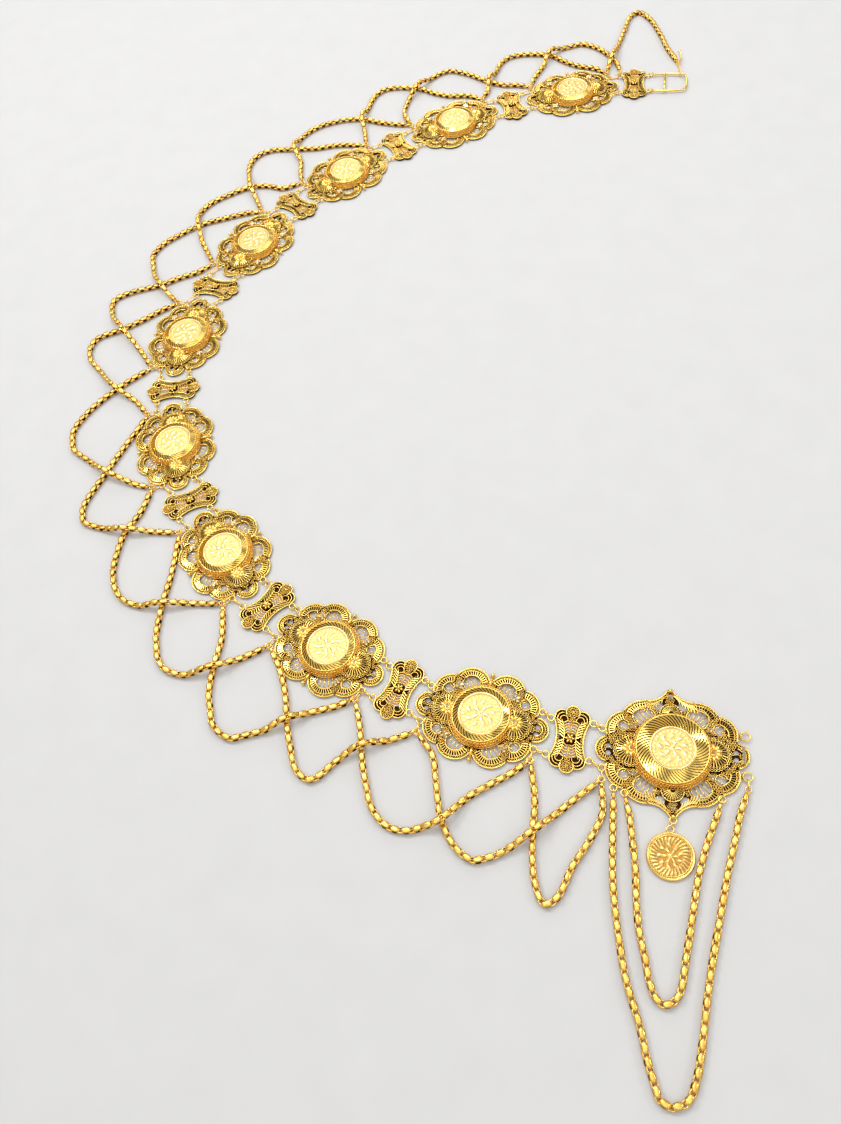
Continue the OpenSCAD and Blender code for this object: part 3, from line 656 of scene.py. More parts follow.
def buckle():
    soup = Soup()
    circles = quarters(BUCKLE_LOBES)
    arcs = visible_arcs(circles, lambda p: np.abs(p[:, 0]) > OGEE[0])

    def core(p):
        u, v = np.abs(p).T
        lobes = in_circles(p, circles, -GRAIN_INSET) & ~in_ribs(p, arcs)
        points = (u < 6.5) & (v < 18.5) | (u < 1.6) & (v < 23)
        near_fan = (u < 4.4) & (v > 13) & (v < 18.7)
        return (lobes | points) & ~near_fan

    for arc in arcs:
        rim_bands(soup, *arc)
    for sv in (-1, 1):
        for su in (-1, 1):
            ogee_side(soup, su, sv)
        soup.scatter(BEAD, [(0, sv * 24, 1.4)], 2.4, finish=BRIGHT)
        cut_balls(soup, [(0, sv * 21.2, 1.9)], 1.3)
        fan(soup, 14.6 * sv, sv)
        eye = (LOOSE_EYE_U, sv * BUCKLE_CORNER[1], LOOSE_Z)
        upright_ring(soup, eye, LOOSE_EYE_R, LOOSE_WIRE, math.pi / 2)
    plate_face(soup, BUCKLE, core, lambda p: in_circles(p, circles, -EDGE_INSET) | in_ogee(p))
    cut_balls(soup, [(25.4, v, 1.9) for v in (-2.6, -1.3, 0, 1.3, 2.6)], 1.1)
    left = [(-BUCKLE_CORNER[0], sv * BUCKLE_CORNER[1]) for sv in (-1, 1)]
    solder_rings(soup, left + [(0, TIP_RING_V)] + LOOP_RINGS)
    for low, high in HIDDEN_HOOK:
        block(soup, low, high)
    return soup


def ogee_side(soup, su, sv):
    """One hollow-curved edge of the buckle's point, with curved ribs inside it."""
    foot = -math.pi / 2
    edge = circle_line((su * OGEE[0], OGEE[1]), OGEE[2] + 0.3, foot, foot - su * 1.08) * (1, sv)
    soup.tube(lifted(edge, 1.1), 0.32)
    soup.tube(lifted(edge - (0, sv * 1.3), 1.25), 0.17, 4, finish=PLAIN)
    soup.scatter(GRAIN, lifted(edge - (0, sv * 0.78), 1.2), 1.05)
    for k in range(7):
        u = 1.4 + 1.08 * k
        rim_v = OGEE[1] - math.sqrt(max(0.0, OGEE[2] ** 2 - (OGEE[0] - u) ** 2))
        share = np.linspace(0, 1, 5)
        rib_u = u + 1.9 * share + 0.5 * np.sin(math.pi * share)
        rib_v = min(rim_v - 1.3, 22.0) - 3.2 * share
        rib = np.stack([su * rib_u, sv * rib_v, 1.3 + 0.3 * share], -1)
        soup.tube(rib, 0.18, 4, smooth=False)


def fan(soup, v, sv):
    """Shell of fine spokes that opens away from the coin, in a beaded edge."""
    start, end = -0.1, math.pi + 0.1
    spokes(soup, (0, v), sv * np.linspace(start, end, 13), (0.9, 2.4), (3.1, 1.9), (0.15, 0.22))
    edge = on_circle((0, v), 3.55, sv * np.linspace(start, end, 14))
    soup.scatter(GRAIN, lifted(edge, 1.7), 1.2, finish=BRIGHT)
    soup.tube(lifted(circle_line((0, v), 4.05, start * sv, end * sv), 1.55), 0.22)
    # Dark dome under the spokes: painted shade in the gaps between them.
    soup.lathe([(4.0, 0.7), (3.9, 1.3), (2.5, 1.5), (0.05, 2.0)], 24, (0, v), finish=PAINTED_SHADE)


def block(soup, low, high):
    """Square bar between two corners, its edges a little eased."""
    low, high = np.array(low), np.array(high)
    ease = 0.12
    mid, half = (low + high) / 2, (high - low) / 2
    rows = []
    for z, inset in ((-1, ease), (-1 + ease / half[2], 0), (1 - ease / half[2], 0), (1, ease)):
        a, b = half[0] - inset, half[1] - inset
        corner = [(a, b - ease), (a - ease, b)]
        left = [(-x, y) for x, y in corner[::-1]]
        ring = corner + left + [(-x, -y) for x, y in corner + left]
        rows.append([(mid[0] + x, mid[1] + y, mid[2] + z * half[2]) for x, y in ring])
    faces = [grid_faces(4, 8), np.arange(8)[None, ::-1], 24 + np.arange(8)[None]]
    soup.add(np.array(rows), faces, PLAIN, False)


def outline_of(inside):
    """Closed line round a plate whose middle sees all of its edge. inside(points) tells the plate."""
    d = on_circle((0, 0), 1, even(240))
    near, far = np.full((240, 1), 9.0), np.full((240, 1), 30.0)
    for _ in range(16):
        reach = (near + far) / 2
        hit = inside(d * reach)[:, None]
        near, far = np.where(hit, reach, near), np.where(hit, far, reach)
    return d * near


def in_ogee(p):
    u, v = np.abs(p).T
    bow = (OGEE[2] + EDGE_INSET) ** 2 - (OGEE[0] - u) ** 2
    return (u < OGEE[0]) & (v > 11) & (v < 24.2) & (v < OGEE[1] - np.sqrt(np.maximum(bow, 0)))


def in_loop(p, loop):
    """Whether points lie inside a closed line."""
    a, b = loop[None], np.roll(loop, -1, 0)[None]
    u, v = p[:, None, 0], p[:, None, 1]
    spans = (a[..., 1] > v) != (b[..., 1] > v)
    rise = np.where(spans, b[..., 1] - a[..., 1], 1)
    crossing = a[..., 0] + (v - a[..., 1]) * (b[..., 0] - a[..., 0]) / rise
    return np.sum(spans & (u < crossing), 1) % 2 == 1


def sheet(soup, outline, holes, low=0.3, high=0.75):
    """Flat dark sheet of painted shade under the openwork, with holes, each a closed line of points or
    a circle u, v, r.
    """
    loops = [outline]
    for hole in holes:
        is_circle = len(hole) == 3
        loops.append(circle_line(hole[:2], hole[2], 0, TAU, 0.9)[:-1] if is_circle else np.array(hole))
    points = np.concatenate(loops)
    edges, first = [], 0
    for loop in loops:
        edges += [(first + k, first + (k + 1) % len(loop)) for k in range(len(loop))]
        first += len(loop)
    cut = delaunay_2d_cdt([Vector(p) for p in points], edges, [], 1, 1e-4)
    flat, faces = np.array([tuple(p) for p in cut[0]]), np.array([list(f) for f in cut[2]])
    middle = flat[faces].mean(1)
    faces = faces[~np.any([in_loop(middle, loop) for loop in loops[1:]], axis=0)]
    soup.add(lifted(flat, high), [faces], PAINTED_SHADE, False)
    soup.add(lifted(flat, low), [faces[:, ::-1]], PAINTED_SHADE, False)
    for loop in loops:
        walls = np.concatenate([lifted(loop, low), lifted(loop, high)])
        soup.add(walls, [grid_faces(2, len(loop))], PAINTED_SHADE, False)


SPACER_WAIST, SPACER_HALF = 5.3, 7.0
# Middle of the bulb at each end
CAP_V = 10.6
SIDE_CUT = SPACER_HALF - SPACER_WAIST
SIDE_R = (SIDE_CUT ** 2 + SPACER_CORNER[1] ** 2) / (2 * SIDE_CUT)


def spacer_side(v, inset=0.0):
    """How far the hourglass's side lies from its middle line."""
    return SPACER_WAIST + SIDE_R - np.sqrt(SIDE_R ** 2 - np.asarray(v, float) ** 2) - inset


def spacer_arches(soup, su, sv):
    """Ribs that arch from the spine to one side band, and on through the corner lobe."""
    share = np.linspace(0, 1, 6)
    for s in np.arange(2.3, 7.6, 1.1):
        wide = spacer_side(s - 0.8, 3.1)
        path = np.stack([su * (0.1 + (wide - 0.1) * share),
                         sv * (s + 0.5 * np.sin(share * math.pi) - 0.9 * share ** 2)], -1)
        soup.tube(lifted(path, 1.45), 0.24, 6, finish=PLAIN)
    for k, wire in enumerate((0.28, 0.2, 0.2)):
        middle = (su * (3.7 - 0.3 * k), sv * (8.4 - 0.45 * k))
        arc = circle_line(middle, 2.9 - 0.7 * k, 0, TAU, 0.5)[:-1]
        clear = np.hypot(arc[:, 0], arc[:, 1] - sv * CAP_V) > 2.7
        run = longest_run(clear & (np.abs(arc[:, 0]) > 1.2) & (sv * arc[:, 1] > 7.0 - 0.2 * k))
        if len(run) > 2:
            soup.tube(lifted(arc[run], 1.4), wire)


def spacer_cap(soup, sv):
    """Bulb of open grains at one end, in a bright edge."""
    arc = circle_line((0, sv * CAP_V), 2.62, -0.7 * sv, (math.pi + 0.7) * sv)
    soup.tube(lifted(arc, 1.45), 0.28)
    # Dark dish under the grains: painted shade in the gaps between them.
    soup.lathe([(2.4, 0.5), (2.4, 1.1), (0.05, 1.4)], 20, (0, sv * CAP_V), finish=PAINTED_SHADE)
    for r, n in ((1.85, 11), (0.85, 5)):
        soup.scatter(GRAIN, lifted(on_circle((0, sv * CAP_V), r, even(n)), 1.6), 1.15)
    below = [(-0.55, 7.9), (0.55, 7.9), (0, 7.1)]
    soup.scatter(GRAIN, [(u, sv * v, 1.5) for u, v in below], 1.15)
    soup.scatter(BEAD, [(0, sv * CAP_V, 1.6)], 1.0, finish=BRIGHT)


def spacer_band(soup, su):
    """One side band of the hourglass: wires, a row of grains and feathered ribs."""
    v = np.linspace(-7.6, 7.6, 17)
    for inset, wire, z in ((0.27, 0.27, 1.3), (3.1, 0.22, 1.45)):
        soup.tube(lifted(np.stack([su * spacer_side(v, inset), v], -1), z), wire)
    v = np.linspace(-7.3, 7.3, 15)
    grains = np.stack([su * spacer_side(v, 0.9), v], -1)
    soup.scatter(GRAIN, lifted(grains, 1.4), 1.1, finish=BRIGHT)
    for s in np.linspace(0.4, 6.1, 6):
        for sv in (-1, 1):
            p = (su * spacer_side(s, 2.95), sv * s)
            q = (su * spacer_side(s + 1.2, 1.35), sv * (s + 1.2))
            soup.rib((*p, 1.45), (*q, 1.4), 0.15)


def spacer_plate():
    soup = Soup()
    for su in (-1, 1):
        spacer_band(soup, su)
        for sv in (-1, 1):
            spacer_arches(soup, su, sv)
    for sv in (-1, 1):
        soup.tube([(0, sv * 1.4, 1.45), (0, sv * 7.6, 1.5)], 0.22)
        spacer_cap(soup, sv)
    # Dark boss under the petals: painted shade between them.
    soup.lathe([(1.8, 0.3), (1.8, 1.9), (1.6, 2.1), (0.05, 2.3)], 20, finish=PAINTED_SHADE)
    a = even(6)
    soup.scatter(PETAL, lifted(on_circle((0, 0), 1.1, a), 2.2), 0.62, a, BRIGHT)
    soup.scatter(ball_form(0.85, 12, 6), [(0, 0, 2.9)], finish=BRIGHT)
    solder_rings(soup, quarters([(*SPACER_CORNER, 0)]))
    # Outline and holes of the spacer's dark sheet of painted shade
    right = [(float(spacer_side(w, 0.35)), w) for w in np.linspace(-7.3, 7.3, 15)]
    end = spacer_end(0.35)
    outline = right + end + [(-u, -w) for u, w in right] + [(-u, -w) for u, w in end]
    hole = [(-1.9, 2.2), (1.9, 2.2), (3.1, 6.6), (0, 7.4), (-3.1, 6.6)]
    sheet(soup, np.array(outline), [hole, [(u, -w) for u, w in hole][::-1]])
    return soup


def spacer_end(inset):
    """Edge of the spacer's fan end, from its right shoulder over the tip to its left."""
    circles = [(3.7, 8.4, 3.2), (-3.7, 8.4, 3.2), (0, CAP_V, 2.9)]
    line = []
    for angle in np.linspace(0.05, math.pi - 0.05, 40):
        d, reach = turned(angle), 0.0
        for u, v, r in circles:
            along = d[0] * u + d[1] * (v - 7.5)
            gap = (r - inset) ** 2 - (u * u + (v - 7.5) ** 2 - along * along)
            if gap > 0:
                reach = max(reach, along + math.sqrt(gap))
        line.append((d[0] * reach, 7.5 + d[1] * reach))
    return line


def upright_ring(soup, centre, r, wire, heading, count=20):
    """Ring on edge, in the upright plane that holds the heading."""
    a = np.arange(count)[:, None] * TAU / count
    d = np.array([*turned(heading), 0.0])
    path = np.array(centre) + r * np.cos(a) * d + r * np.sin(a) * UP
    soup.tube(path, wire, 6, closed=True, up=np.cross(UP, d))


def flat_ring(soup, p, z, r, wire, count=24):
    path = lifted(circle_line(p, r, 0, TAU, TAU * r / count)[:-1], z)
    soup.tube(path, wire, 8, closed=True)


def standing_link(soup, start, heading, length, h, z):
    """Long jump ring on edge, from its first leg along the heading."""
    d = np.array([*unit(heading), 0.0])
    bend = np.linspace(-math.pi / 2, math.pi / 2, 9)
    far = [((length - h) + h * math.cos(a), h * math.sin(a)) for a in bend]
    near = [(h - h * math.cos(a), -h * math.sin(a)) for a in bend]
    path = np.array([np.array([*start, z]) + along * d + rise * UP for along, rise in far + near])
    soup.tube(path, LINK_WIRE, 8, closed=True, up=np.cross(UP, d))


def link_between(soup, a, b):
    d = unit(b - a)
    standing_link(soup, a + LEG * d, d, np.linalg.norm(b - a) - 2 * LEG, LINK_H, RING_Z)


def spacer_links(i):
    soup = Soup()
    for row in (-1, 1):
        link_between(soup, plate_ring(i - 1, -1, row), spacer_ring(i, 1, row))
        if i < 10:
            link_between(soup, spacer_ring(i, -1, row), plate_ring(i, 1, row))
    for j in (2 * i - 1, 2 * i):
        standing_link(soup, hang_ring(j) + LEG * hang_dir(j), hang_dir(j), HANG_L, HANG_H, HANG_Z)
    return soup


# Chains
def steps_of(line):
    return np.linalg.norm(np.diff(line, axis=0), axis=1)


def spline(rows, per_span=12, inset=0.0):
    """Smooth line through rows of x, y, z, kept inset within the rows' own reach in x and y."""
    rows = np.array(rows, float)
    rows = np.concatenate([[2 * rows[0] - rows[1]], rows, [2 * rows[-1] - rows[-2]]])
    knots = running(np.sqrt(steps_of(rows)))
    out = []
    for k in range(1, len(rows) - 2):
        t = np.linspace(knots[k], knots[k + 1], per_span, endpoint=False)[:, None]

        def mix(first, last, a, b):
            low, high = knots[k + first], knots[k + last]
            return (high - t) / (high - low) * a + (t - low) / (high - low) * b

        a1, a2, a3 = (mix(m, m + 1, rows[k + m], rows[k + m + 1]) for m in (-1, 0, 1))
        out.append(mix(0, 1, mix(-1, 1, a1, a2), mix(0, 2, a2, a3)))
    line = np.concatenate(out + [rows[-2:-1]])
    margin = np.array([inset, inset, 0])
    return np.clip(line, rows[1:-1].min(0) + margin, rows[1:-1].max(0) - margin)


def band_form(length, height, loop, thickness):
    """Closed loop of flat band, upright, about X = 0. Rows of the loop: along, up, half the band."""
    rows = []
    for x, z, b in loop:
        x, z = x * length / 2, z * height / 2
        inner = (math.copysign(max(abs(x) - thickness, 0), x), math.copysign(abs(z) - thickness, z))
        rows.append([(inner[0], -b, inner[1]), (0.88 * x, -b, 0.8 * z), (x, -0.5 * b, z),
                     (x, 0.5 * b, z), (0.88 * x, b, 0.8 * z), (inner[0], b, inner[1])])
    return np.array(rows).reshape(-1, 3), grid_faces(len(loop), 6, True)


def round_loop(quarter):
    """A loop from its upper right quarter, mirrored both ways."""
    right = quarter + [(x, -z, b) for x, z, b in quarter[::-1]]
    return right + [(-x, z, b) for x, z, b in right[::-1]]


FACE_QUARTER = [(0.3, 1, 1.15), (0.66, 0.98, 1.0), (0.9, 0.82, 0.68), (1, 0.42, 0.5)]
SIDE_QUARTER = [(0.35, 1, 0.5), (0.8, 0.9, 0.45), (1, 0.5, 0.42)]
LINKS = [band_form(*FACE_LINK, round_loop(FACE_QUARTER), BAND_T),
         band_form(*SIDE_LINK, round_loop(SIDE_QUARTER), BAND_T)]


def chain_links(soup, rows):
    """Box links threaded along a line, every second one rolled a quarter turn."""
    line = spline(rows, inset=0.21)
    length = running(steps_of(line))
    sizes = np.interp(length, [0, TAPER, length[-1] - TAPER, length[-1]], [END_SIZE, 1, 1, END_SIZE])
    beat = running(np.diff(length) / (CHAIN_PITCH * (sizes[1:] + sizes[:-1]) / 2))
    count = int(round(beat[-1]))
    places = np.interp((np.arange(count) + 0.5) * beat[-1] / count, beat, length)

    def along(where):
        return np.stack([np.interp(where, length, line[:, k]) for k in range(3)], -1)

    centre = along(places)
    size = np.interp(places, length, sizes)
    centre[:, 2] = np.maximum(centre[:, 2], size * (CHAIN_Z + LINK_LIFT))
    nearby = 0.3
    t = unit(along(places + nearby) - along(places - nearby))
    s = unit(np.cross(UP, t))
    w = np.cross(t, s)
    size = size[:, None, None]
    roll = np.random.default_rng(count).uniform(-LINK_ROLL, LINK_ROLL, count)[:, None]
    s, w = np.cos(roll) * s + np.sin(roll) * w, np.cos(roll) * w - np.sin(roll) * s
    tip = np.random.default_rng(count + 1).uniform(-LINK_ROLL / 2, LINK_ROLL / 2, count)[:, None]
    t, w = np.cos(tip) * t + np.sin(tip) * w, np.cos(tip) * w - np.sin(tip) * t
    for part, (form, faces) in enumerate(LINKS):
        side, lift = (s, w) if part == 0 else (w, -s)
        own = slice(part, None, 2)
        shape = (form[None, :, :1] * t[own, None] + form[None, :, 1:2] * side[own, None]
                 + form[None, :, 2:] * lift[own, None])
        many = centre[own, None] + size[own] * shape
        steps = (np.arange(len(many)) * len(form))[:, None, None]
        # Inner faces of each band get the painted-shade finish: painted shade inside the link.
        inside = np.tile(np.arange(len(faces)) % 6 == 5, len(many))
        soup.add(many, (faces[None] + steps).reshape(-1, 4), np.where(inside, PAINTED_SHADE, PLAIN))


def chain(route, start, end, z_start=EYE_LOW, z_end=EYE_LOW):
    """Box chain with a ring at each end, which lies flat, or stands where its z is STAND_EYE_Z."""
    ends = []
    for held, near, z in ((start, route[0], z_start), (end, route[-1], z_end)):
        d = unit(np.array(near[:2]) - held)
        eye = held + (EYE_R + 0.05 if z == STAND_EYE_Z else EYE_SLACK) * d
        ends.append((eye, d, z))
    first, last = ([(*(eye + CHAIN_START * d), z), (*(eye + CHAIN_DOWN * d), CHAIN_Z)]
                   for eye, d, z in ends)
    middle = [(p[0], p[1], CHAIN_Z + (HUMP if len(p) > 2 else 0)) for p in route]
    soup = Soup()
    chain_links(soup, first + middle + last[::-1])
    for eye, d, z in ends:
        if z == STAND_EYE_Z:
            upright_ring(soup, (*eye, z), EYE_R, LINK_WIRE, math.atan2(d[1], d[0]))
        else:
            flat_ring(soup, eye, z, EYE_R, LINK_WIRE)
    return soup


def swag(k):
    end = HOOK_LEG if k == 20 else hang_leg(k + 1)
    return chain(ROUTES[k - 1], hang_leg(max(1, k - 1)), end, EYE_LOW if k == 1 else EYE_HIGH)


def loops():
    """The two long chains below the buckle."""
    left, inner, right = [at(PLATES[0], *place) for place in LOOP_RINGS]
    outer_end = LOOP_LEG + (LOOP_LINK_L - 0.07) * out_dir(PLATES[0])
    return [chain(LOOP_OUTER, left, outer_end, STAND_EYE_Z),
            chain(LOOP_INNER, inner, right, STAND_EYE_Z, STAND_EYE_Z)]


def buckle_rings():
    soup = Soup()
    for sv in (-1, 1):
        middle = at(PLATES[0], LOOSE_EYE_U + LOOSE_R, sv * BUCKLE_CORNER[1])
        flat_ring(soup, middle, LOOSE_Z, LOOSE_R, LOOSE_WIRE)
    standing_link(soup, LOOP_LEG, out_dir(PLATES[0]), LOOP_LINK_L, LINK_H, RING_Z)
    link_between(soup, at(PLATES[0], 0, TIP_RING_V), at(PLATES[0], PENDANT_U, PENDANT_RING_V))
    return soup


def pendant():
    """Coin pendant lying flat, about its own middle."""
    soup = Soup()
    r, t = PENDANT_R, PENDANT_T

    def milled(angle, radius, z):
        share = radius / r
        ring = np.exp(-((share - 0.69) / 0.14) ** 4)
        strokes = np.clip(0.5 + 1.2 * np.cos(30 * angle + 11 * share), 0, 1)
        leaves = 0.36 * relief_ring(np.cos(9 * angle - 6 * share), share, 0.44, 0.08, 1.6)
        flower = 0.32 * relief_ring(np.cos(6 * angle), share, 0.22, 0.09, 1.6)
        heart = 0.3 * relief_ring(1, share, 0, 0.08)
        return np.where(radius < r - 0.9, 0.42 * ring * strokes + leaves + flower + heart, 0)

    rows = [(r - 0.35, 0.0), (r, 0.3), (r, t - 0.35), (r - 0.3, t)]
    soup.lathe([(0.05, 0.0)] + rows, 96, finish=BRIGHT)
    inner = [(r - 0.3, t), (r - 0.8, t - 0.05), (r - 1.0, t - 0.35)]
    inner += [(r * s, t - 0.42) for s in np.linspace(0.86, 0.01, 26)]
    soup.lathe(inner, 144, wave=milled, finish=COIN)
    for share in (0.85, 0.95):
        ring_wire(soup, share * r, t - 0.2, 0.2)
    soup.scatter(BEAD, lifted(on_circle((0, 0), 0.9 * r, even(64)), t - 0.3), 0.75)
    flat_ring(soup, (0, RING_R - 0.4 + r), RING_Z, RING_R, RING_WIRE)
    return soup


def clasp_frame():
    soup = Soup()
    end_u = 0.05 - 2 * CLASP_EYE_R
    side = [(end_u, CLASP_HALF[0]), (-6, 7.75), (CLASP_BAR_U, CLASP_HALF[1]), (-13, 7.7), (-16, 7.5),
            (CLASP_END_U, CLASP_HALF[2]), (-CLASP_L + CLASP_BOW[0], CLASP_BOW[1]), (-20.5, 4.9),
            (-CLASP_L, CLASP_BOW[2])]
    line = side + [(u, -v) for u, v in side[::-1]]
    soup.tube(spline([(u, v, CLASP_Z) for u, v in line], 5), CLASP_WIRE, 12)
    bar = [(CLASP_BAR_U, v, CLASP_Z) for v in (CLASP_HALF[1], 0, -CLASP_HALF[1])]
    soup.tube(bar, CLASP_WIRE, 12)
    for sv in (-1, 1):
        upright_ring(soup, (-CLASP_EYE_R, sv * CLASP_HALF[0], CLASP_Z), CLASP_EYE_R, CLASP_EYE_WIRE, 0)
        ball = (end_u - 0.7, sv * (CLASP_HALF[0] + 0.03), CLASP_Z)
        soup.scatter(ball_form(0.75, 12, 6), [ball])
    return soup


def end_hook():
    soup = Soup()
    standing_link(soup, HOOK_START, HOOK_DIR, HOOK_L, HANG_H, HANG_Z)
    end = (*(HOOK_START + HOOK_L * HOOK_DIR), HOOK_TURN)
    tail = [(*at(end, u, v), HOOK_TAIL_Z) for u, v in HOOK_TAIL]
    soup.tube(spline(tail, 5), HOOK_WIRE, 10)
    soup.scatter(ball_form(0.78, 14, 8), tail[-1:], finish=BRIGHT)
    return soup


# Materials
class Nodes:
    """The nodes of one material or world."""

    def __init__(self, owner):
        owner.use_nodes = True
        self.tree = owner.node_tree

    def fill(self, node, inputs):
        """Set a node's inputs, by name or number, to numbers or to other nodes' outputs."""
        for key, value in inputs.items():
            if isinstance(value, bpy.types.NodeSocket):
                self.tree.links.new(value, node.inputs[key])
            else:
                node.inputs[key].default_value = value

    def add(self, kind, output, inputs, **settings):
        """One output of a new node."""
        node = self.tree.nodes.new("ShaderNode" + kind)
        for key, value in settings.items():
            setattr(node, key, value)
        self.fill(node, inputs)
        return node.outputs[output]

    def remap(self, value, low, high, to_low, to_high):
        span = {"Value": value, "From Min": low, "From Max": high, "To Min": to_low, "To Max": to_high}
        return self.add("MapRange", "Result", span)

    def math(self, kind, a, b):
        return self.add("Math", 0, {0: a, 1: b}, operation=kind)


def gold(name, light, dark, rough, low, high, dents=0.00012, worn=0.55):
    """Gold darker below the height high, as painted shade in its low parts, and in random patina
    patches, with fine scratches and small dents.
    """
    material = bpy.data.materials.new(name)
    nodes = Nodes(material)
    where = nodes.add("TexCoord", "Object", {})

    def noise(size, detail):
        return nodes.add("TexNoise", "Fac", {"Scale": size, "Detail": detail, "Vector": where})

    height = nodes.add("SeparateXYZ", "Z", {0: where})
    # Painted shade: darker below the height high.
    depth = nodes.remap(height, low, high, 1.0, 0.0)
    patch = nodes.remap(noise(260, 4), 0.42, 0.66, 0.0, worn)
    # The darker of the painted shade and the patina patches sets the tint.
    shade_and_patina = nodes.math("MAXIMUM", depth, patch)
    tint = {0: shade_and_patina, 6: (*light, 1), 7: (*dark, 1)}
    dull = nodes.remap(shade_and_patina, 0, 1, rough, rough + 0.22)
    scratches = nodes.remap(noise(900, 3), 0.3, 0.7, 0.8, 1.25)
    uneven = nodes.math("ADD", noise(1500, 3), noise(420, 2))
    nodes.fill(material.node_tree.nodes["Principled BSDF"], {
        "Metallic": 1.0,
        "Base Color": nodes.add("Mix", 2, tint, data_type="RGBA"),
        "Roughness": nodes.math("MULTIPLY", dull, scratches),
        "Normal": nodes.add("Bump", "Normal", {"Strength": 0.3, "Distance": dents, "Height": uneven}),
    })
    return material


# Painted shade darkens what lies below the second of the two heights, in metres
FLAT_SHADE_HEIGHTS = (0.0003, 0.0009)
# Coin gold, painted paler than the wire gold as a highlight of strong light on the coins; its darker
# colour is painted shade in the relief's hollows and also tints the random patina patches.
PALE_LIT_COIN_COLOURS = ((1.0, 0.88, 0.5), (0.78, 0.52, 0.18), 0.28)
# Wire and bright-cut gold, darker below 0.9 mm as painted shade, and in random patina patches.
WIRE_GOLD = gold("filigree_gold", (1.0, 0.63, 0.14), (0.8, 0.34, 0.05), 0.24, *FLAT_SHADE_HEIGHTS, 0.00003, 0.3)
CUT_GOLD = gold("bright_gold", (1.0, 0.7, 0.18), (0.9, 0.48, 0.07), 0.17, *FLAT_SHADE_HEIGHTS, 0.00003, 0.3)
# Painted shade below the top of each coin's relief.
COIN_GOLD = gold("coin_gold", *PALE_LIT_COIN_COLOURS, 0.00455, 0.0049, 0.0004)
BUCKLE_COIN_GOLD = gold("buckle_coin_gold", *PALE_LIT_COIN_COLOURS, 0.00555, 0.0059, 0.0004)
# Pendant gold, darker below the top of its relief as painted shade in the hollows, and in random patina
# patches.
PENDANT_GOLD = gold("pendant_gold", (1.0, 0.78, 0.3), (0.45, 0.22, 0.04), 0.22, 0.00118, 0.0015)
# Near-black gold of painted shade: the dark sheet under the openwork, the dark dishes under spokes and
# grains, the dark strips of the fluted rings and the insides of chain links.
PAINTED_SHADE_GOLD = gold("shaded_gold", (0.05, 0.02, 0.005), (0.022, 0.009, 0.003), 0.6, 0.0002, 0.0009)
# Pale, nearly white gold: painted highlight that makes the cut balls' glints white.
PAINTED_GLINT_GOLD = gold("cut_ball_painted_glint_gold", (1.0, 0.87, 0.55), (1.0, 0.75, 0.3), 0.07, *FLAT_SHADE_HEIGHTS, 0.00001, 0.2)
METALS = [WIRE_GOLD, CUT_GOLD, COIN_GOLD, PAINTED_SHADE_GOLD, PAINTED_GLINT_GOLD]
BUCKLE_METALS = [WIRE_GOLD, CUT_GOLD, BUCKLE_COIN_GOLD, PAINTED_SHADE_GOLD, PAINTED_GLINT_GOLD]
PENDANT_METALS = [WIRE_GOLD, CUT_GOLD, PENDANT_GOLD, PAINTED_SHADE_GOLD]


def repeat(kind, soup, places):
    """The same plate at many places, numbered from 1."""
    first = soup.piece(f"{kind}_1_filigree", METALS, "plate", f"{kind}_1", places[0])
    for i, place in enumerate(places[1:], 2):
        place_piece(f"{kind}_{i}_filigree", first.data, f"{kind}_{i}", place)


def build_belt():
    """All pieces. Those at the place belt are drawn in the belt's own frame."""
    belt = (0, 0, 0)
    buckle().piece("buckle_filigree", BUCKLE_METALS, "plate", "buckle", PLATES[0])
    repeat("medallion", medallion(), PLATES[1:])
    repeat("spacer", spacer_plate(), [spacer(i) for i in range(1, 11)])
    for i in range(1, 11):
        spacer_links(i).piece(f"links_{i}_wire", METALS, "wire", f"links_{i}", belt)
    for k in range(1, 21):
        swag(k).piece(f"chain_{k}_box", METALS, "chain", f"chain_{k}", belt)
    for name, loop in zip(("loop_outer", "loop_inner"), loops()):
        loop.piece(name + "_box", METALS, "chain", name, belt)
    buckle_rings().piece("buckle_rings_wire", METALS, "wire", "buckle_rings", belt)
    centre = at(PLATES[0], PENDANT_U, PENDANT_RING_V - RING_R + 0.4 - PENDANT_R)
    pendant().piece("pendant_coin", PENDANT_METALS, "plate", "pendant", (*centre, PLATES[0][2]))
    clasp_frame().piece("clasp_frame_wire", METALS, "wire", "clasp_frame", CLASP_PLACE)
    end_hook().piece("end_hook_wire", METALS, "wire", "end_hook", belt)


def floor():
    mesh = bpy.data.meshes.new("studio_floor")
    mesh.from_pydata([(-20, -20, 0), (20, -20, 0), (20, 20, 0), (-20, 20, 0)], [], [(0, 1, 2, 3)])
    material = bpy.data.materials.new("pale_floor")
    nodes = Nodes(material)
    where = nodes.add("TexCoord", "Object", {})
    mottle = nodes.add("TexNoise", "Fac", {"Scale": 60, "Vector": where})
    ramp = nodes.add("ValToRGB", "Color", {"Fac": mottle})
    for stop, grey in zip(ramp.node.color_ramp.elements, FLOOR_GREYS):
        stop.color = (grey, grey, grey, 1)
    nodes.fill(material.node_tree.nodes["Principled BSDF"], {"Roughness": 0.85, "Base Color": ramp})
    mesh.materials.append(material)
    plane = bpy.data.objects.new("studio_floor", mesh)
    bpy.context.scene.collection.objects.link(plane)


def area_light(name, spot, aim, size, watts):
    data = bpy.data.lights.new(name, "AREA")
    data.shape, data.size, data.energy = "DISK", size, watts
    light = bpy.data.objects.new(name, data)
    light.location = spot
    light.rotation_euler = (Vector(aim) - Vector(spot)).to_track_quat("-Z", "Y").to_euler()
    bpy.context.scene.collection.objects.link(light)


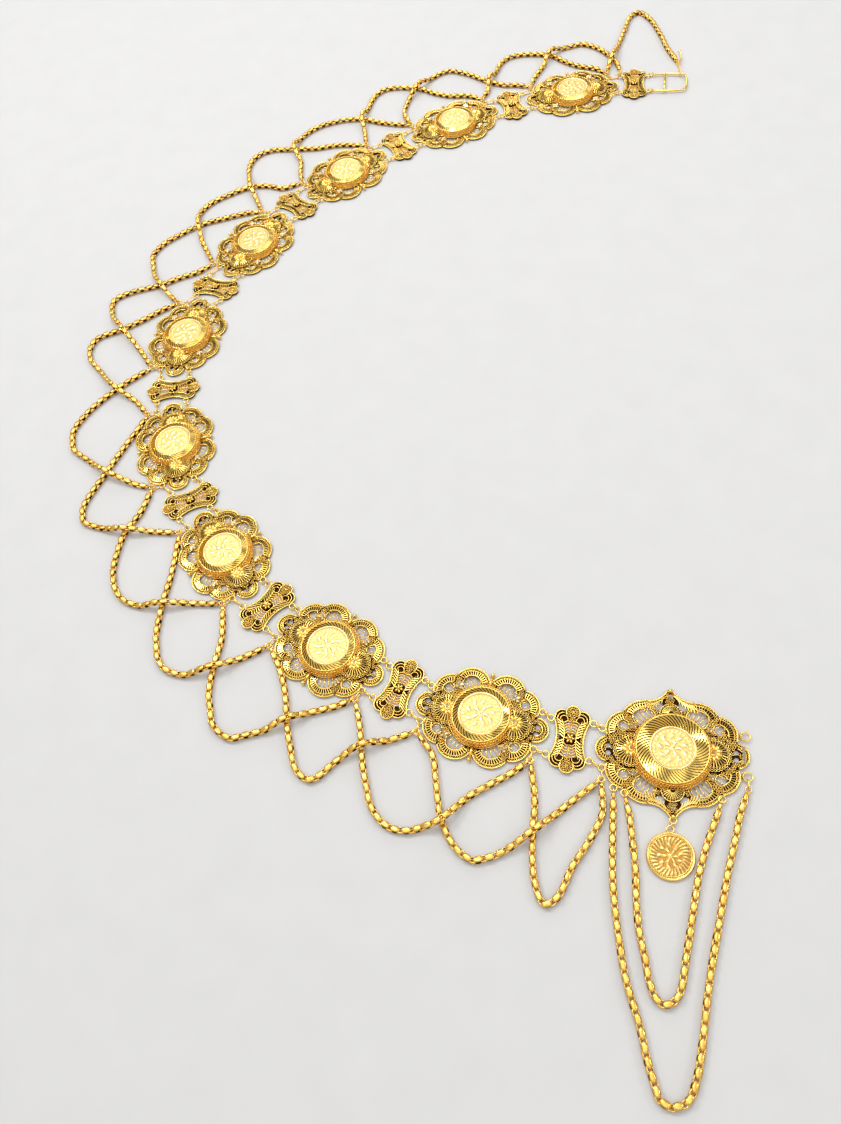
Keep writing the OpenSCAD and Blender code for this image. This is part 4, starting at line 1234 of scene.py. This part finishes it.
def studio():
    world = bpy.data.worlds.new("studio")
    nodes = Nodes(world)
    where = nodes.add("TexCoord", "Generated", {})
    height = nodes.add("SeparateXYZ", "Z", {0: where})
    brightness = nodes.remap(height, 0, 1, SKY_LOW, SKY_HIGH)
    patches = nodes.add("TexNoise", "Fac", {"Scale": 3.5, "Vector": where})
    panels = nodes.remap(patches, 0.42, 0.58, 0.35, 1.85)
    overhead = nodes.remap(height, PANELS_FROM, PANELS_FULL, 0, 1)
    pattern = nodes.add("Mix", 0, {0: overhead, 2: 1.0, 3: panels})
    background = {"Color": (1, 0.99, 0.97, 1), "Strength": nodes.math("MULTIPLY", brightness, pattern)}
    nodes.fill(world.node_tree.nodes["Background"], background)
    bpy.context.scene.world = world
    bpy.context.scene.view_settings.view_transform = "Standard"
    area_light("key", (-0.55, 0.5, 1.0), (0, 0, 0), 0.16, 3.0)
    area_light("overhead_soft", (0.1, 0.35, 1.1), (0, 0, 0), 0.5, 3.2)
    area_light("back_soft", (0.2, 1.4, 0.75), (0, 0.1, 0), 0.5, 3.2)
    area_light("side", (0.9, -0.3, 0.7), (0, 0, 0), 0.12, 1.4)


def camera():
    p, r = math.radians(CAMERA_DOWN), math.radians(CAMERA_ROLL)
    forward = Vector((0, math.cos(p), -math.sin(p)))
    right, up = Vector((1, 0, 0)), Vector((0, math.sin(p), math.cos(p)))
    x = math.cos(r) * right + math.sin(r) * up
    y = -math.sin(r) * right + math.cos(r) * up
    spot = (Vector(CAMERA_AT) - Vector((*BELT_MID, 0))) * MM
    data = bpy.data.cameras.new("photo_view")
    data.sensor_fit, data.sensor_height = "VERTICAL", 36
    data.lens = FOCAL_PX * data.sensor_height / PHOTO_H
    data.clip_start, data.clip_end = 0.01, 20
    eye = bpy.data.objects.new("photo_view", data)
    eye.matrix_world = Matrix.Translation(spot) @ Matrix((x, y, -forward)).transposed().to_4x4()
    bpy.context.scene.collection.objects.link(eye)
    bpy.context.scene.camera = eye


build_belt()
floor()
studio()
camera()
